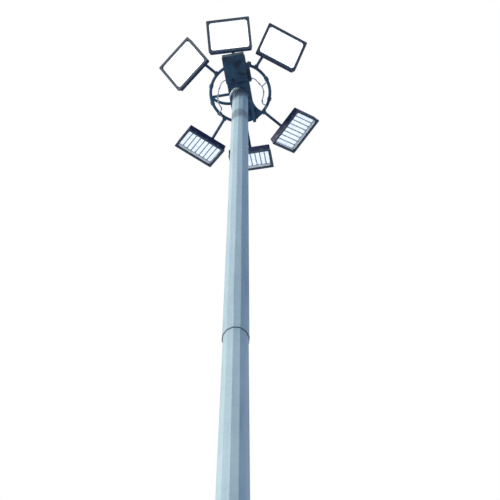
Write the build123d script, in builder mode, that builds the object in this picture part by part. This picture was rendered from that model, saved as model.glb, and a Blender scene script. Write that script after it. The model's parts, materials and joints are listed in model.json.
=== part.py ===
"""High mast floodlight tower: twelve-sided steel mast with a ring head and six floodlights."""
from build123d import *
import os
from math import cos, radians, sin

os.makedirs("parts", exist_ok=True)

# ---- mast ---------------------------------------------------------------
mast_sides = 12
half_facet = radians(180 / mast_sides)

plate_radius = 275.0
plate_thickness = 30.0
plate_bore_radius = 85.0
anchor_circle_radius = 220.0
anchor_count = 12
anchor_hole_radius = 15.0
plate_edge_chamfer = 4.0

lower_base_radius = 141.0  # circumscribed radius on the base plate
lower_radius_at_joint = 99.0
lower_wall = 5.0
joint_height = 12420.0  # bottom rim of the upper section
slip_length = 350.0
upper_rim_radius = 104.5
upper_top_radius = 92.5
upper_wall = 5.0
mast_top = 19900.0

gusset_count = 6
gusset_height = 190.0
gusset_thickness = 12.0
gusset_foot = 100.0
gusset_toe_height = 22.0
gusset_tip_width = 14.0
gusset_weld_snip = 14.0

door_angle = -60.0  # compass of the mast corner that the door is centred on
door_bottom = 560.0
door_height = 520.0
door_width = 116.0
door_clearance = 0.8
door_frame_land = 12.0
door_frame_reach = 14.0
door_frame_thickness = 8.0

cap_thickness = 6.0
cap_overhang = 5.0
cap_spigot_depth = 28.0
cap_spigot_wall = 3.0
fit_clearance = 0.3

# ---- head frame ---------------------------------------------------------
ring_below_top = 250.0
ring_height = mast_top - ring_below_top
ring_radius = 349.0
ring_tube_radius = 18.0
ring_tube_wall = 3.0

rail_depth = 80.0
rail_outer_half_width = 130.0
rail_thickness = 6.0
rail_front = -450.0
rail_rear = 355.0

clamp_plate_thickness = 8.0
clamp_plate_height = 80.0

box_front = -506.0
box_rear = -196.0
box_height = 135.0
box_wall = 3.0
box_side_inset = 4.0
lid_thickness = 10.0
lid_skin = 3.0

side_box_front = -372.0
side_box_rear = -168.0
side_box_width = 37.0
side_box_height = 118.0

rear_plate_front = 112.0
rear_plate_rear = 330.0
rear_plate_half_width = 106.0
rear_plate_thickness = 8.0

strut_width = 32.0
strut_thickness = 8.0
strut_setback = -9.0
brace_width = 34.0
brace_ring_angle = 1.5  # how far round the ring from the left side the brace lands
brace_rail_setback = 106.0
brace_bow = 26.0
rail_lap = 22.0  # how far flat pieces lie over the rail

web_plate_thickness = 8.0
web_front_angle = 139.5  # compass of the gusset's front corner on the ring
web_rear_angle = 161.5
web_rail_front = 115.0
web_hollow = 20.0  # depth of the hollow in the gusset's free edge

conduit_rod_radius = 6.0
conduit_box_drop = 137.0  # below the ring, where the conduits leave the boxes
right_conduit_box_y = -182.0
left_conduit_box_y = -213.0
hanger_angle = 76.0
hanger_conduit_radius = 276.0
hanger_conduit_drop = 130.0
drop_rod_radius = 264.0  # of the conduit where it hangs from the strut
drop_rod_drop = 112.0
right_conduit_bends = ((226.0, -135.0, 135.0), (269.0, 46.0, 100.0), (247.0, 164.0, 60.0))
left_conduit_bends = (
    (-214.0, -151.0, 135.0),
    (-245.0, -85.0, 128.0),
    (-262.0, 82.0, 80.0),
    (-252.0, 154.0, 54.0),
)
right_conduit_end = 132.0  # compass where the conduit meets the ring
left_conduit_end = 229.0
hanger_clearance = 0.95
hanger_width = 12.0
hanger_thickness = 4.0
hanger_end_height = 16.0
hanger_ring_inset = 9.0
hanger_ring_drop = 16.0

# ---- arms, stirrups and floodlights --------------------------------------
arm_tube_radius = 17.0
arm_tube_wall = 3.0
arm_reach = 698.5  # distance of the stirrup bolt from the mast axis
arm_end_margin = 20.0
saddle_width = 48.0
saddle_depth = 26.0
saddle_height = 46.0
pad_length = 48.0
pad_width = 56.0
pad_drop = 21.0  # underside of the pad below the arm axis
pad_thickness = 8.0

flood_width = 500.0
flood_height = 405.0
bezel_thickness = 12.0
bezel_border = 26.0
flood_corner_radius = 14.0
body_depth = 70.0
body_inset = 5.0
body_back_inset = 9.0
body_wall = 4.0
pocket_wall = 7.0
front_face_depth = 114.0  # front of the bezel from the pivot
glass_thickness = 4.0
glass_margin = 3.0
led_panel_thickness = 3.0
led_panel_setback = 38.0
led_panel_edge_gap = 2.0  # to the edge of the glass opening
panel_post_radius = 7.0
panel_post_x = 190.0
panel_post_y = 120.0
gear_bay_length = 200.0
gear_bay_width = 120.0
gear_bay_height = 30.0
gear_bay_draft = 10.0

arm_spread = 40.5
side_offset = 105.0
stirrup_bar_thickness = 6.0
stirrup_bar_width = 42.0
lug_outer_x = 128.0  # outer face of the pivot lugs on the back of the body
lug_thickness = 16.0
lug_radius = 18.0
stirrup_gap = 5.0  # from a lug to a leg
stirrup_leg_drop = 155.0
stirrup_end_radius = 21.0
boss_radius = 15.0
pivot_radius = 8.0
pivot_hole_clearance = 0.3
pivot_face_clearance = 0.5
pivot_head_radius = 13.0
pivot_head_thickness = 7.0

pivot_drop = pad_drop + stirrup_bar_thickness + stirrup_leg_drop
pivot_height = ring_height - pivot_drop
rail_top = ring_height - ring_tube_radius - fit_clearance
rail_bottom = rail_top - rail_depth

# name, compass of the arm, side the lamp is set off to, swivel on the arm pad,
# and aim of the lamp measured outward from straight down
lamps = (
    ("front", 0.0, 0, 3.0, 38.5),
    ("front_right", arm_spread, 1, -2.4, 37.5),
    ("rear_right", 180.0 - arm_spread, -1, -3.5, 37.0),
    ("rear", 180.0, 0, 1.0, 42.0),
    ("rear_left", 180.0 + arm_spread, 1, 1.8, 36.0),
    ("front_left", -arm_spread, -1, 2.5, 38.0),
)


def outward(compass):
    """Horizontal unit vector; compass 0 is -Y and 90 is +X."""
    return Vector(sin(radians(compass)), -cos(radians(compass)), 0)


def sideways(compass):
    """Horizontal unit vector a quarter turn further round than outward."""
    return Vector(cos(radians(compass)), sin(radians(compass)), 0)


def lower_radius(height):
    """Circumscribed radius of the lower section at a height."""
    share = (height - plate_thickness) / (joint_height - plate_thickness)
    return lower_base_radius + share * (lower_radius_at_joint - lower_base_radius)


def upper_radius(height):
    """Circumscribed radius of the upper section at a height."""
    share = (height - joint_height) / (mast_top - joint_height)
    return upper_rim_radius + share * (upper_top_radius - upper_rim_radius)


def wall_step(wall):
    """Change in circumscribed radius for a wall thickness."""
    return wall / cos(half_facet)


def tapered_prism(bottom, bottom_radius, top, top_radius, mode=Mode.ADD):
    """Twelve-sided tapered solid between two heights."""
    with BuildSketch(Plane.XY.offset(bottom)) as low_profile:
        RegularPolygon(bottom_radius, mast_sides)
    with BuildSketch(Plane.XY.offset(top)) as high_profile:
        RegularPolygon(top_radius, mast_sides)
    loft([low_profile.sketch, high_profile.sketch], ruled=True, mode=mode)


def door_slot(grow, mode):
    """Round-ended slot through one side of the mast wall."""
    middle = door_bottom + door_height / 2
    slot_plane = Plane(
        origin=Vector(0, 0, middle),
        x_dir=sideways(90.0 + door_angle),
        z_dir=outward(90.0 + door_angle),
    )
    with BuildSketch(slot_plane) as slot:
        SlotOverall(door_height + 2 * grow, door_width + 2 * grow, rotation=90)
    extrude(slot.sketch, amount=2 * lower_base_radius, mode=mode)


# ---- base and mast ---------------------------------------------------------
with BuildPart() as base_plate:
    with BuildSketch(Plane.XY):
        Circle(plate_radius)
        Circle(plate_bore_radius, mode=Mode.SUBTRACT)
    extrude(amount=plate_thickness)
    chamfer(
        base_plate.edges().filter_by(GeomType.CIRCLE).sort_by(Axis.Z)[-2:].sort_by(
            lambda edge: edge.radius
        )[-1],
        plate_edge_chamfer,
    )
    with Locations((0, 0, plate_thickness)):
        with PolarLocations(anchor_circle_radius, anchor_count):
            Hole(anchor_hole_radius)

with BuildPart() as base_gussets:
    for index in range(gusset_count):
        compass = 90.0 + 15.0 + index * 360.0 / gusset_count
        foot_radius = lower_radius(plate_thickness) * cos(half_facet)
        head_height = plate_thickness + gusset_height
        head_radius = lower_radius(head_height) * cos(half_facet)
        snip_height = plate_thickness + gusset_weld_snip
        snip_radius = lower_radius(snip_height) * cos(half_facet)
        gusset_plane = Plane(
            origin=Vector(0, 0, 0),
            x_dir=outward(compass),
            z_dir=outward(compass).cross(Vector(0, 0, 1)),
        )
        with BuildSketch(gusset_plane):
            with BuildLine():
                Polyline(
                    (foot_radius + gusset_weld_snip, plate_thickness),
                    (foot_radius + gusset_foot, plate_thickness),
                    (foot_radius + gusset_foot, plate_thickness + gusset_toe_height),
                    (head_radius + gusset_tip_width, head_height),
                    (head_radius, head_height),
                    (snip_radius, snip_height),
                    close=True,
                )
            make_face()
        extrude(amount=gusset_thickness / 2, both=True)

with BuildPart() as mast_lower:
    lower_end = joint_height + slip_length
    tapered_prism(plate_thickness, lower_base_radius, lower_end, lower_radius(lower_end))
    tapered_prism(
        plate_thickness,
        lower_base_radius - wall_step(lower_wall),
        lower_end,
        lower_radius(lower_end) - wall_step(lower_wall),
        mode=Mode.SUBTRACT,
    )
    door_slot(0, Mode.SUBTRACT)

with BuildPart() as door_frame:
    frame_bottom = door_bottom - 2 * door_frame_reach
    frame_top = door_bottom + door_height + 2 * door_frame_reach
    inside_step = wall_step(lower_wall)
    frame_step = wall_step(lower_wall + door_frame_thickness)
    tapered_prism(
        frame_bottom,
        lower_radius(frame_bottom) - inside_step,
        frame_top,
        lower_radius(frame_top) - inside_step,
    )
    tapered_prism(
        frame_bottom,
        lower_radius(frame_bottom) - frame_step,
        frame_top,
        lower_radius(frame_top) - frame_step,
        mode=Mode.SUBTRACT,
    )
    door_slot(door_frame_reach, Mode.INTERSECT)
    door_slot(-door_frame_land, Mode.SUBTRACT)

with BuildPart() as door:
    tapered_prism(
        door_bottom,
        lower_radius(door_bottom),
        door_bottom + door_height,
        lower_radius(door_bottom + door_height),
    )
    tapered_prism(
        door_bottom,
        lower_radius(door_bottom) - inside_step,
        door_bottom + door_height,
        lower_radius(door_bottom + door_height) - inside_step,
        mode=Mode.SUBTRACT,
    )
    door_slot(-door_clearance, Mode.INTERSECT)

with BuildPart() as mast_upper:
    tapered_prism(joint_height, upper_rim_radius, mast_top, upper_top_radius)
    tapered_prism(
        joint_height,
        upper_rim_radius - wall_step(upper_wall),
        mast_top,
        upper_top_radius - wall_step(upper_wall),
        mode=Mode.SUBTRACT,
    )

with BuildPart() as mast_cap:
    spigot_radius = upper_top_radius - wall_step(upper_wall) - fit_clearance
    with BuildSketch(Plane.XY.offset(mast_top)):
        RegularPolygon(upper_top_radius + cap_overhang, mast_sides)
    extrude(amount=cap_thickness)
    with BuildSketch(Plane.XY.offset(mast_top)):
        RegularPolygon(spigot_radius, mast_sides)
        RegularPolygon(spigot_radius - cap_spigot_wall, mast_sides, mode=Mode.SUBTRACT)
    extrude(amount=-cap_spigot_depth)


# ---- head frame ---------------------------------------------------------------
rail_inner_half_width = upper_radius(rail_bottom) + fit_clearance


def ring_channel(radius, mode):
    """Torus on the ring's centreline."""
    with BuildSketch(Plane.XZ) as tube:
        with Locations((ring_radius, ring_height)):
            Circle(radius)
    revolve(tube.sketch, axis=Axis.Z, mode=mode)


def channel_rail(side):
    """Channel with its back to the mast and its toes outward."""
    with BuildPart() as rail:
        with BuildSketch(Plane.XZ.offset(-rail_front)):
            with Locations((side * rail_inner_half_width, rail_bottom)):
                low_align = (Align.MIN if side > 0 else Align.MAX, Align.MIN)
                Rectangle(rail_outer_half_width - rail_inner_half_width, rail_depth, align=low_align)
            with Locations((side * (rail_inner_half_width + rail_thickness), rail_bottom + rail_thickness)):
                Rectangle(
                    rail_outer_half_width,
                    rail_depth - 2 * rail_thickness,
                    align=low_align,
                    mode=Mode.SUBTRACT,
                )
        extrude(amount=rail_front - rail_rear)
    return rail.part


def clamp_plate(side):
    """Plate between the rails that closes on the mast corner."""
    with BuildPart() as plate:
        near = side * (upper_radius(rail_bottom) + fit_clearance + clamp_plate_thickness / 2)
        with Locations((0, near, rail_bottom + clamp_plate_height / 2)):
            Box(2 * rail_inner_half_width, clamp_plate_thickness, clamp_plate_height)
    return plate.part


rail_left = channel_rail(-1)
rail_right = channel_rail(1)
clamp_front = clamp_plate(-1)
clamp_rear = clamp_plate(1)

with BuildPart() as rear_plate:
    with BuildSketch(Plane.XY.offset(rail_top)):
        with Locations((0, (rear_plate_front + rear_plate_rear) / 2)):
            Rectangle(2 * rear_plate_half_width, rear_plate_rear - rear_plate_front)
    extrude(amount=rear_plate_thickness)
    ring_channel(ring_tube_radius + fit_clearance, Mode.SUBTRACT)

with BuildPart() as ring:
    ring_channel(ring_tube_radius, Mode.ADD)
    ring_channel(ring_tube_radius - ring_tube_wall, Mode.SUBTRACT)

with BuildPart() as gear_box:
    box_half_width = rail_outer_half_width - box_side_inset
    box_length = box_rear - box_front
    box_middle = (box_front + box_rear) / 2
    with BuildSketch(Plane.XY.offset(rail_bottom)):
        with Locations((0, box_middle)):
            Rectangle(2 * box_half_width, box_length)
    extrude(amount=-box_height)
    open_face = gear_box.faces().sort_by(Axis.Z)[0]
    offset(amount=-box_wall, openings=open_face)

with BuildPart() as gear_box_lid:
    with BuildSketch(Plane.XY.offset(rail_bottom - box_height)):
        with Locations((0, box_middle)):
            Rectangle(2 * rail_outer_half_width, box_length + 2 * box_side_inset)
    extrude(amount=-lid_thickness)
    chamfer(gear_box_lid.edges().group_by(Axis.Z)[0], lid_skin)

with BuildPart() as side_box:
    side_box_middle = (side_box_front + side_box_rear) / 2
    with BuildSketch(Plane.XY.offset(rail_bottom)):
        with Locations((box_half_width, side_box_middle)):
            Rectangle(
                side_box_width,
                side_box_rear - side_box_front,
                align=(Align.MIN, Align.CENTER),
            )
    extrude(amount=-side_box_height)
    offset(amount=-box_wall, openings=side_box.faces().sort_by(Axis.X)[0])

with BuildPart() as strut_left:
    strut_start = rail_outer_half_width - rail_lap
    strut_end = ring_radius - ring_tube_radius / 2
    with BuildSketch(Plane.XY.offset(rail_top)):
        with Locations((-(strut_end + strut_start) / 2, strut_setback)):
            Rectangle(strut_end - strut_start, strut_width)
    extrude(amount=strut_thickness)
    brace_ring_end = outward(270.0 - brace_ring_angle) * (ring_radius - brace_width / 2)
    brace_rail_end = Vector(-strut_start, brace_rail_setback)
    brace_middle = (brace_ring_end + brace_rail_end) / 2
    brace_side = (brace_rail_end - brace_ring_end).normalized().cross(Vector(0, 0, 1))
    brace_level = Vector(0, 0, rail_top + strut_thickness / 2)
    with BuildLine() as brace_path:
        ThreePointArc(
            brace_ring_end + brace_level,
            brace_middle - brace_side * brace_bow + brace_level,
            brace_rail_end + brace_level,
        )
    brace_plane = Plane(
        origin=brace_path.line @ 0,
        x_dir=Vector(0, 0, 1),
        z_dir=brace_path.line % 0,
    )
    with BuildSketch(brace_plane):
        Rectangle(strut_thickness, brace_width)
    sweep(path=brace_path.line)
    ring_channel(ring_tube_radius + fit_clearance, Mode.SUBTRACT)

with BuildPart() as gusset_rear_right:
    web_start = rail_outer_half_width - rail_lap
    web_front = outward(web_front_angle) * ring_radius
    web_rear = outward(web_rear_angle) * ring_radius
    web_between = outward((web_front_angle + web_rear_angle) / 2) * ring_radius
    web_corner = Vector(rail_outer_half_width, web_rail_front)
    web_middle = (web_corner + web_front) / 2
    web_side = (web_front - web_corner).normalized().cross(Vector(0, 0, 1))
    with BuildSketch(Plane.XY.offset(rail_top)):
        with BuildLine():
            ThreePointArc(web_corner, web_middle - web_side * web_hollow, web_front)
            ThreePointArc(web_front, web_between, web_rear)
            Polyline(web_rear, (web_start, web_rear.Y), (web_start, web_rail_front), web_corner)
        make_face()
    extrude(amount=web_plate_thickness)
    ring_channel(ring_tube_radius + fit_clearance, Mode.SUBTRACT)

def conduit(points, start, end):
    """Round conduit on a smooth path; each point is x, y and how far it is below the ring."""
    with BuildPart() as run:
        with BuildLine() as path:
            Spline(
                *[Vector(x, y, ring_height - drop) for x, y, drop in points],
                tangents=(start, end),
            )
        with BuildSketch(Plane(origin=path.line @ 0, z_dir=path.line % 0)) as section:
            Circle(conduit_rod_radius)
        sweep(section.sketch, path=path.line)
    return run.part


hanger_point = outward(hanger_angle) * hanger_conduit_radius
conduit_end_drop = ring_tube_radius + fit_clearance + conduit_rod_radius
right_end = outward(right_conduit_end) * ring_radius
left_end = outward(left_conduit_end) * ring_radius

with BuildPart() as conduits:
    right_points = (
        (box_half_width + side_box_width + fit_clearance, right_conduit_box_y, conduit_box_drop),
        right_conduit_bends[0],
        (hanger_point.X, hanger_point.Y, hanger_conduit_drop),
        *right_conduit_bends[1:],
        (right_end.X, right_end.Y, conduit_end_drop),
    )
    left_points = (
        (-box_half_width - fit_clearance, left_conduit_box_y, conduit_box_drop),
        *left_conduit_bends[:2],
        (-drop_rod_radius, strut_setback, drop_rod_drop),
        *left_conduit_bends[2:],
        (left_end.X, left_end.Y, conduit_end_drop),
    )
    add(conduit(right_points, Vector(1, 0, 0), sideways(right_conduit_end)))
    add(conduit(left_points, Vector(-1, 0, 0), -sideways(left_conduit_end)))

with BuildPart() as conduit_hangers:
    hanger_plane = Plane(
        origin=Vector(0, 0, 0),
        x_dir=outward(hanger_angle),
        z_dir=outward(hanger_angle).cross(Vector(0, 0, 1)),
    )
    low_x = hanger_conduit_radius + conduit_rod_radius + hanger_clearance
    high_x = ring_radius - hanger_ring_inset
    high_z = ring_height - hanger_ring_drop
    hanger_level = ring_height - hanger_conduit_drop
    with BuildSketch(hanger_plane):
        with BuildLine():
            Polyline(
                (low_x, hanger_level - hanger_end_height / 2),
                (low_x + hanger_thickness, hanger_level - hanger_end_height / 2),
                (low_x + hanger_thickness, hanger_level + hanger_end_height / 2),
                (high_x + hanger_thickness, high_z),
                (high_x, high_z),
                (low_x, hanger_level + hanger_end_height / 2),
                close=True,
            )
        make_face()
    extrude(amount=hanger_width / 2, both=True)
    ring_channel(ring_tube_radius + fit_clearance, Mode.SUBTRACT)
    drop_low = ring_height - drop_rod_drop - hanger_end_height / 2
    drop_x = -drop_rod_radius - conduit_rod_radius - hanger_clearance - hanger_thickness / 2
    with Locations((drop_x, strut_setback, (drop_low + rail_top) / 2)):
        Box(hanger_thickness, hanger_width, rail_top - drop_low)


# ---- arms and floodlights -------------------------------------------------------
def arm_plane(compass):
    """Plane square to an arm, with its normal along the arm."""
    return Plane(
        origin=Vector(0, 0, ring_height),
        x_dir=sideways(compass),
        z_dir=outward(compass),
    )


def lamp_arm(compass):
    """Tube with a saddle on the ring and a pad for the stirrup."""
    with BuildPart() as arm:
        square = arm_plane(compass)
        arm_end = arm_reach + arm_end_margin
        with BuildSketch(square.offset(ring_radius)):
            Rectangle(saddle_width, saddle_height)
        extrude(amount=saddle_depth)
        fillet(arm.edges().filter_by(lambda edge: edge.length > saddle_height - 1).sort_by(
            lambda edge: -edge.center().dot(outward(compass))
        )[0:1], 3)
        with BuildSketch(square.offset(ring_radius)):
            Circle(arm_tube_radius)
        extrude(amount=arm_end - ring_radius)
        pad_plane = Plane(
            origin=outward(compass) * arm_reach + Vector(0, 0, ring_height - pad_drop),
            x_dir=sideways(compass),
            z_dir=Vector(0, 0, 1),
        )
        with BuildSketch(pad_plane):
            RectangleRounded(pad_width, pad_length, 6)
        extrude(amount=pad_thickness)
        with BuildSketch(square.offset(ring_radius + saddle_depth)):
            Circle(arm_tube_radius - arm_tube_wall)
        extrude(amount=arm_end - ring_radius, mode=Mode.SUBTRACT)
        ring_channel(ring_tube_radius + fit_clearance, Mode.SUBTRACT)
    return arm.part


leg_inner = lug_outer_x + stirrup_gap
leg_outer = leg_inner + stirrup_bar_thickness


def lamp_centre(compass, side, swivel):
    """Middle of the pivot line; the lamp swivels on the bolt at the arm's reach."""
    level = outward(compass) * arm_reach + sideways(compass + swivel) * side * side_offset
    return level + Vector(0, 0, pivot_height)


def stirrup(compass, side, swivel):
    """Bent flat bar that hangs from the arm pad and carries the lamp pivots."""
    centre = lamp_centre(compass, side, swivel)
    facing = outward(compass + swivel)
    across = sideways(compass + swivel)
    with BuildPart() as bracket:
        profile = Plane(origin=centre, x_dir=across, z_dir=facing)
        bar_top = stirrup_leg_drop + stirrup_bar_thickness
        with BuildSketch(profile):
            with Locations((0, bar_top)):
                Rectangle(2 * leg_outer, bar_top + stirrup_end_radius, align=(Align.CENTER, Align.MAX))
            with Locations((0, stirrup_leg_drop)):
                Rectangle(
                    2 * leg_inner,
                    stirrup_leg_drop + 2 * stirrup_end_radius,
                    align=(Align.CENTER, Align.MAX),
                    mode=Mode.SUBTRACT,
                )
        extrude(amount=stirrup_bar_width / 2, both=True)
        fillet(
            bracket.edges()
            .filter_by(lambda edge: abs((edge % 0.5).dot(facing)) > 0.99)
            .group_by(Axis.Z)[-1],
            stirrup_bar_thickness * 0.9,
        )
        fillet(
            bracket.edges()
            .filter_by(lambda edge: abs((edge % 0.5).dot(across)) > 0.99)
            .group_by(Axis.Z)[0],
            stirrup_end_radius - 1,
        )
        cross = Plane(origin=centre - across * leg_outer, x_dir=facing, z_dir=across)
        with BuildSketch(cross):
            Circle(pivot_radius + pivot_hole_clearance)
        extrude(amount=2 * leg_outer, mode=Mode.SUBTRACT)
    return bracket.part


def lamp_plane(compass, side, swivel, aim):
    """Plane through the pivots: normal to the back, Y towards the inner edge."""
    facing = outward(compass + swivel)
    back = facing * -sin(radians(aim)) + Vector(0, 0, cos(radians(aim)))
    centre = lamp_centre(compass, side, swivel)
    return Plane(origin=centre, x_dir=sideways(compass + swivel), z_dir=back)


bezel_back = -front_face_depth + bezel_thickness
body_back = bezel_back + body_depth
lug_foot = body_wall / 2 - body_back  # from the pivot down into the back of the body
led_panel_width = flood_width - 2 * (bezel_border + led_panel_edge_gap)
led_panel_height = flood_height - 2 * (bezel_border + led_panel_edge_gap)
glass_width = flood_width - 2 * bezel_border + 2 * glass_margin
glass_height = flood_height - 2 * bezel_border + 2 * glass_margin


def lamp_bezel(plane):
    """Front frame of a floodlight."""
    with BuildPart() as bezel:
        with BuildSketch(plane.offset(-front_face_depth)):
            RectangleRounded(flood_width, flood_height, flood_corner_radius)
            RectangleRounded(
                flood_width - 2 * bezel_border,
                flood_height - 2 * bezel_border,
                flood_corner_radius / 2,
                mode=Mode.SUBTRACT,
            )
        extrude(amount=bezel_thickness)
    return bezel.part


def lamp_housing(plane):
    """Cast body with a front pocket, gear bay on its back and side pivots."""
    with BuildPart() as housing:
        with BuildSketch(plane.offset(bezel_back)):
            RectangleRounded(
                flood_width - 2 * body_inset,
                flood_height - 2 * body_inset,
                flood_corner_radius,
            )
        with BuildSketch(plane.offset(body_back)):
            RectangleRounded(
                flood_width - 2 * body_back_inset,
                flood_height - 2 * body_back_inset,
                flood_corner_radius,
            )
        loft(ruled=True)
        with BuildSketch(plane.offset(body_back)):
            RectangleRounded(gear_bay_length, gear_bay_width, flood_corner_radius)
        with BuildSketch(plane.offset(body_back + gear_bay_height)):
            RectangleRounded(
                gear_bay_length - 2 * gear_bay_draft,
                gear_bay_width - 2 * gear_bay_draft,
                flood_corner_radius,
            )
        loft(ruled=True)
        for turn in (-1, 1):
            lug_plane = Plane(
                origin=plane.origin + plane.x_dir * turn * (lug_outer_x - lug_thickness),
                x_dir=plane.y_dir,
                z_dir=plane.x_dir * turn,
            )
            foot_side = Align.MAX if turn > 0 else Align.MIN
            with BuildSketch(lug_plane):
                Circle(lug_radius)
                Rectangle(2 * lug_radius, lug_foot, align=(Align.CENTER, foot_side))
            extrude(amount=lug_thickness)
            with BuildSketch(lug_plane):
                Circle(boss_radius)
            extrude(amount=leg_inner - pivot_face_clearance - lug_outer_x + lug_thickness)
            with BuildSketch(lug_plane):
                Circle(pivot_radius)
            extrude(amount=leg_outer + pivot_face_clearance - lug_outer_x + lug_thickness)
            head_plane = Plane(
                origin=plane.origin + plane.x_dir * turn * (leg_outer + pivot_face_clearance),
                x_dir=plane.y_dir,
                z_dir=plane.x_dir * turn,
            )
            with BuildSketch(head_plane):
                RegularPolygon(pivot_head_radius, 6)
            extrude(amount=pivot_head_thickness)
        with BuildSketch(plane.offset(bezel_back)):
            RectangleRounded(
                flood_width - 2 * (body_inset + pocket_wall),
                flood_height - 2 * (body_inset + pocket_wall),
                flood_corner_radius / 2,
            )
        with BuildSketch(plane.offset(body_back - body_wall)):
            RectangleRounded(
                flood_width - 2 * (body_back_inset + pocket_wall),
                flood_height - 2 * (body_back_inset + pocket_wall),
                flood_corner_radius / 2,
            )
        loft(ruled=True, mode=Mode.SUBTRACT)
        with BuildSketch(plane.offset(body_back - body_wall)):
            with GridLocations(2 * panel_post_x, 2 * panel_post_y, 2, 2):
                Circle(panel_post_radius)
        extrude(amount=-(body_depth - body_wall - led_panel_setback))
    return housing.part


def lamp_glass(plane):
    """Front glass behind the bezel."""
    with BuildPart() as glass:
        with BuildSketch(plane.offset(bezel_back)):
            RectangleRounded(glass_width, glass_height, flood_corner_radius / 2)
        extrude(amount=glass_thickness)
    return glass.part


def lamp_panel(plane):
    """Light-emitting panel inside the pocket."""
    with BuildPart() as panel:
        with BuildSketch(plane.offset(bezel_back + led_panel_setback)):
            RectangleRounded(led_panel_width, led_panel_height, flood_corner_radius / 2)
        extrude(amount=-led_panel_thickness)
    return panel.part


with BuildPart() as lamp_arms:
    for lamp_name, compass, side, swivel, aim in lamps:
        add(lamp_arm(compass))

with BuildPart() as stirrups:
    for lamp_name, compass, side, swivel, aim in lamps:
        add(stirrup(compass, side, swivel))

pieces = {
    "base_plate": base_plate.part,
    "base_gussets": base_gussets.part,
    "mast_lower": mast_lower.part,
    "door_frame": door_frame.part,
    "door": door.part,
    "mast_upper": mast_upper.part,
    "mast_cap": mast_cap.part,
    "rail_left": rail_left,
    "rail_right": rail_right,
    "clamp_front": clamp_front,
    "clamp_rear": clamp_rear,
    "rear_plate": rear_plate.part,
    "ring": ring.part,
    "gear_box": gear_box.part,
    "gear_box_lid": gear_box_lid.part,
    "side_box": side_box.part,
    "strut_left": strut_left.part,
    "gusset_rear_right": gusset_rear_right.part,
    "conduits": conduits.part,
    "conduit_hangers": conduit_hangers.part,
    "lamp_arms": lamp_arms.part,
    "stirrups": stirrups.part,
}
for lamp_name, compass, side, swivel, aim in lamps:
    plane = lamp_plane(compass, side, swivel, aim)
    pieces[f"{lamp_name}_housing"] = lamp_housing(plane)
    pieces[f"{lamp_name}_bezel"] = lamp_bezel(plane)
    pieces[f"{lamp_name}_glass"] = lamp_glass(plane)
    pieces[f"{lamp_name}_panel"] = lamp_panel(plane)

for piece_name, piece in pieces.items():
    piece.label = piece_name
    export_step(piece, f"parts/{piece_name}.step")
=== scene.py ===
import json
from math import cos, pi, radians, sin, sqrt, tau
import bmesh
import bpy
from mathutils import Matrix, Vector


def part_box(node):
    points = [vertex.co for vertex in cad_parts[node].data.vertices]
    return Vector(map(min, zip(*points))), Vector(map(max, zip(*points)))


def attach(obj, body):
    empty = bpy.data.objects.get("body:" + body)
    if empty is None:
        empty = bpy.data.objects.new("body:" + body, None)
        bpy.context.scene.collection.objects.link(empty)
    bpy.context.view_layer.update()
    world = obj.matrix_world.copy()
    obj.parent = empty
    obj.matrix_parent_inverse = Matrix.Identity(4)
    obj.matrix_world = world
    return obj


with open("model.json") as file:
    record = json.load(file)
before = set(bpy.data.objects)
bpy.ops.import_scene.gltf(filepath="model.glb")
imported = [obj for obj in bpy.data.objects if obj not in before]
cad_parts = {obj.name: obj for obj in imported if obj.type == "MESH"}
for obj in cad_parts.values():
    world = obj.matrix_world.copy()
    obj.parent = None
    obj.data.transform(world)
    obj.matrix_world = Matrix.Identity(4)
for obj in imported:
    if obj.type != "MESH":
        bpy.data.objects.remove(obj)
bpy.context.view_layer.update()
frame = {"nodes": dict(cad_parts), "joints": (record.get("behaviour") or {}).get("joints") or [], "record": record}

nodes = frame["nodes"]
joints = {j["child"]: j for j in frame["joints"]}
up = Vector((0, 0, 1))


def outward(compass):
    # level direction away from the mast; 0 is the front, 90 the right
    return Vector((sin(radians(compass)), -cos(radians(compass)), 0))


def sideways(compass):
    return Vector((cos(radians(compass)), sin(radians(compass)), 0))


def fill(tree, node, inputs):
    # an input is a value, another node's output, a node, which gives its first output, or a list of nodes
    for key, value in inputs.items():
        for source in value if isinstance(value, list) else [value]:
            if isinstance(source, bpy.types.Node):
                source = next(out for out in source.outputs if out.enabled)
            if isinstance(source, bpy.types.NodeSocket):
                tree.links.new(source, node.inputs[key])
            else:
                node.inputs[key].default_value = source
    return node


def addNode(tree, kind, inputs=None, **settings):
    # one node with its settings and links
    node = tree.nodes.new(kind)
    for name, value in settings.items():
        setattr(node, name, value)
    return fill(tree, node, inputs or {})


def linearColour(hexCode):
    # sRGB hex to the linear values that the shaders take
    out = []
    for i in (0, 2, 4):
        c = int(hexCode[i:i + 2], 16) / 255
        out.append(c / 12.92 if c <= 0.04045 else ((c + 0.055) / 1.055) ** 2.4)
    return (*out, 1.0)


def addToScene(name, data):
    thing = bpy.data.objects.new(name, data)
    bpy.context.scene.collection.objects.link(thing)
    return thing


# a person of 1.7 m near the foot looks up at the head; angles in degrees, lengths in metres
view = {"distance": 4.713, "compass": 10.964, "eyeHeight": 1.66, "upward": 69.605,
        "turn": 1.327, "roll": -0.165, "focalLength": 112.99, "sensor": 36, "farthest": 400}


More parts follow.
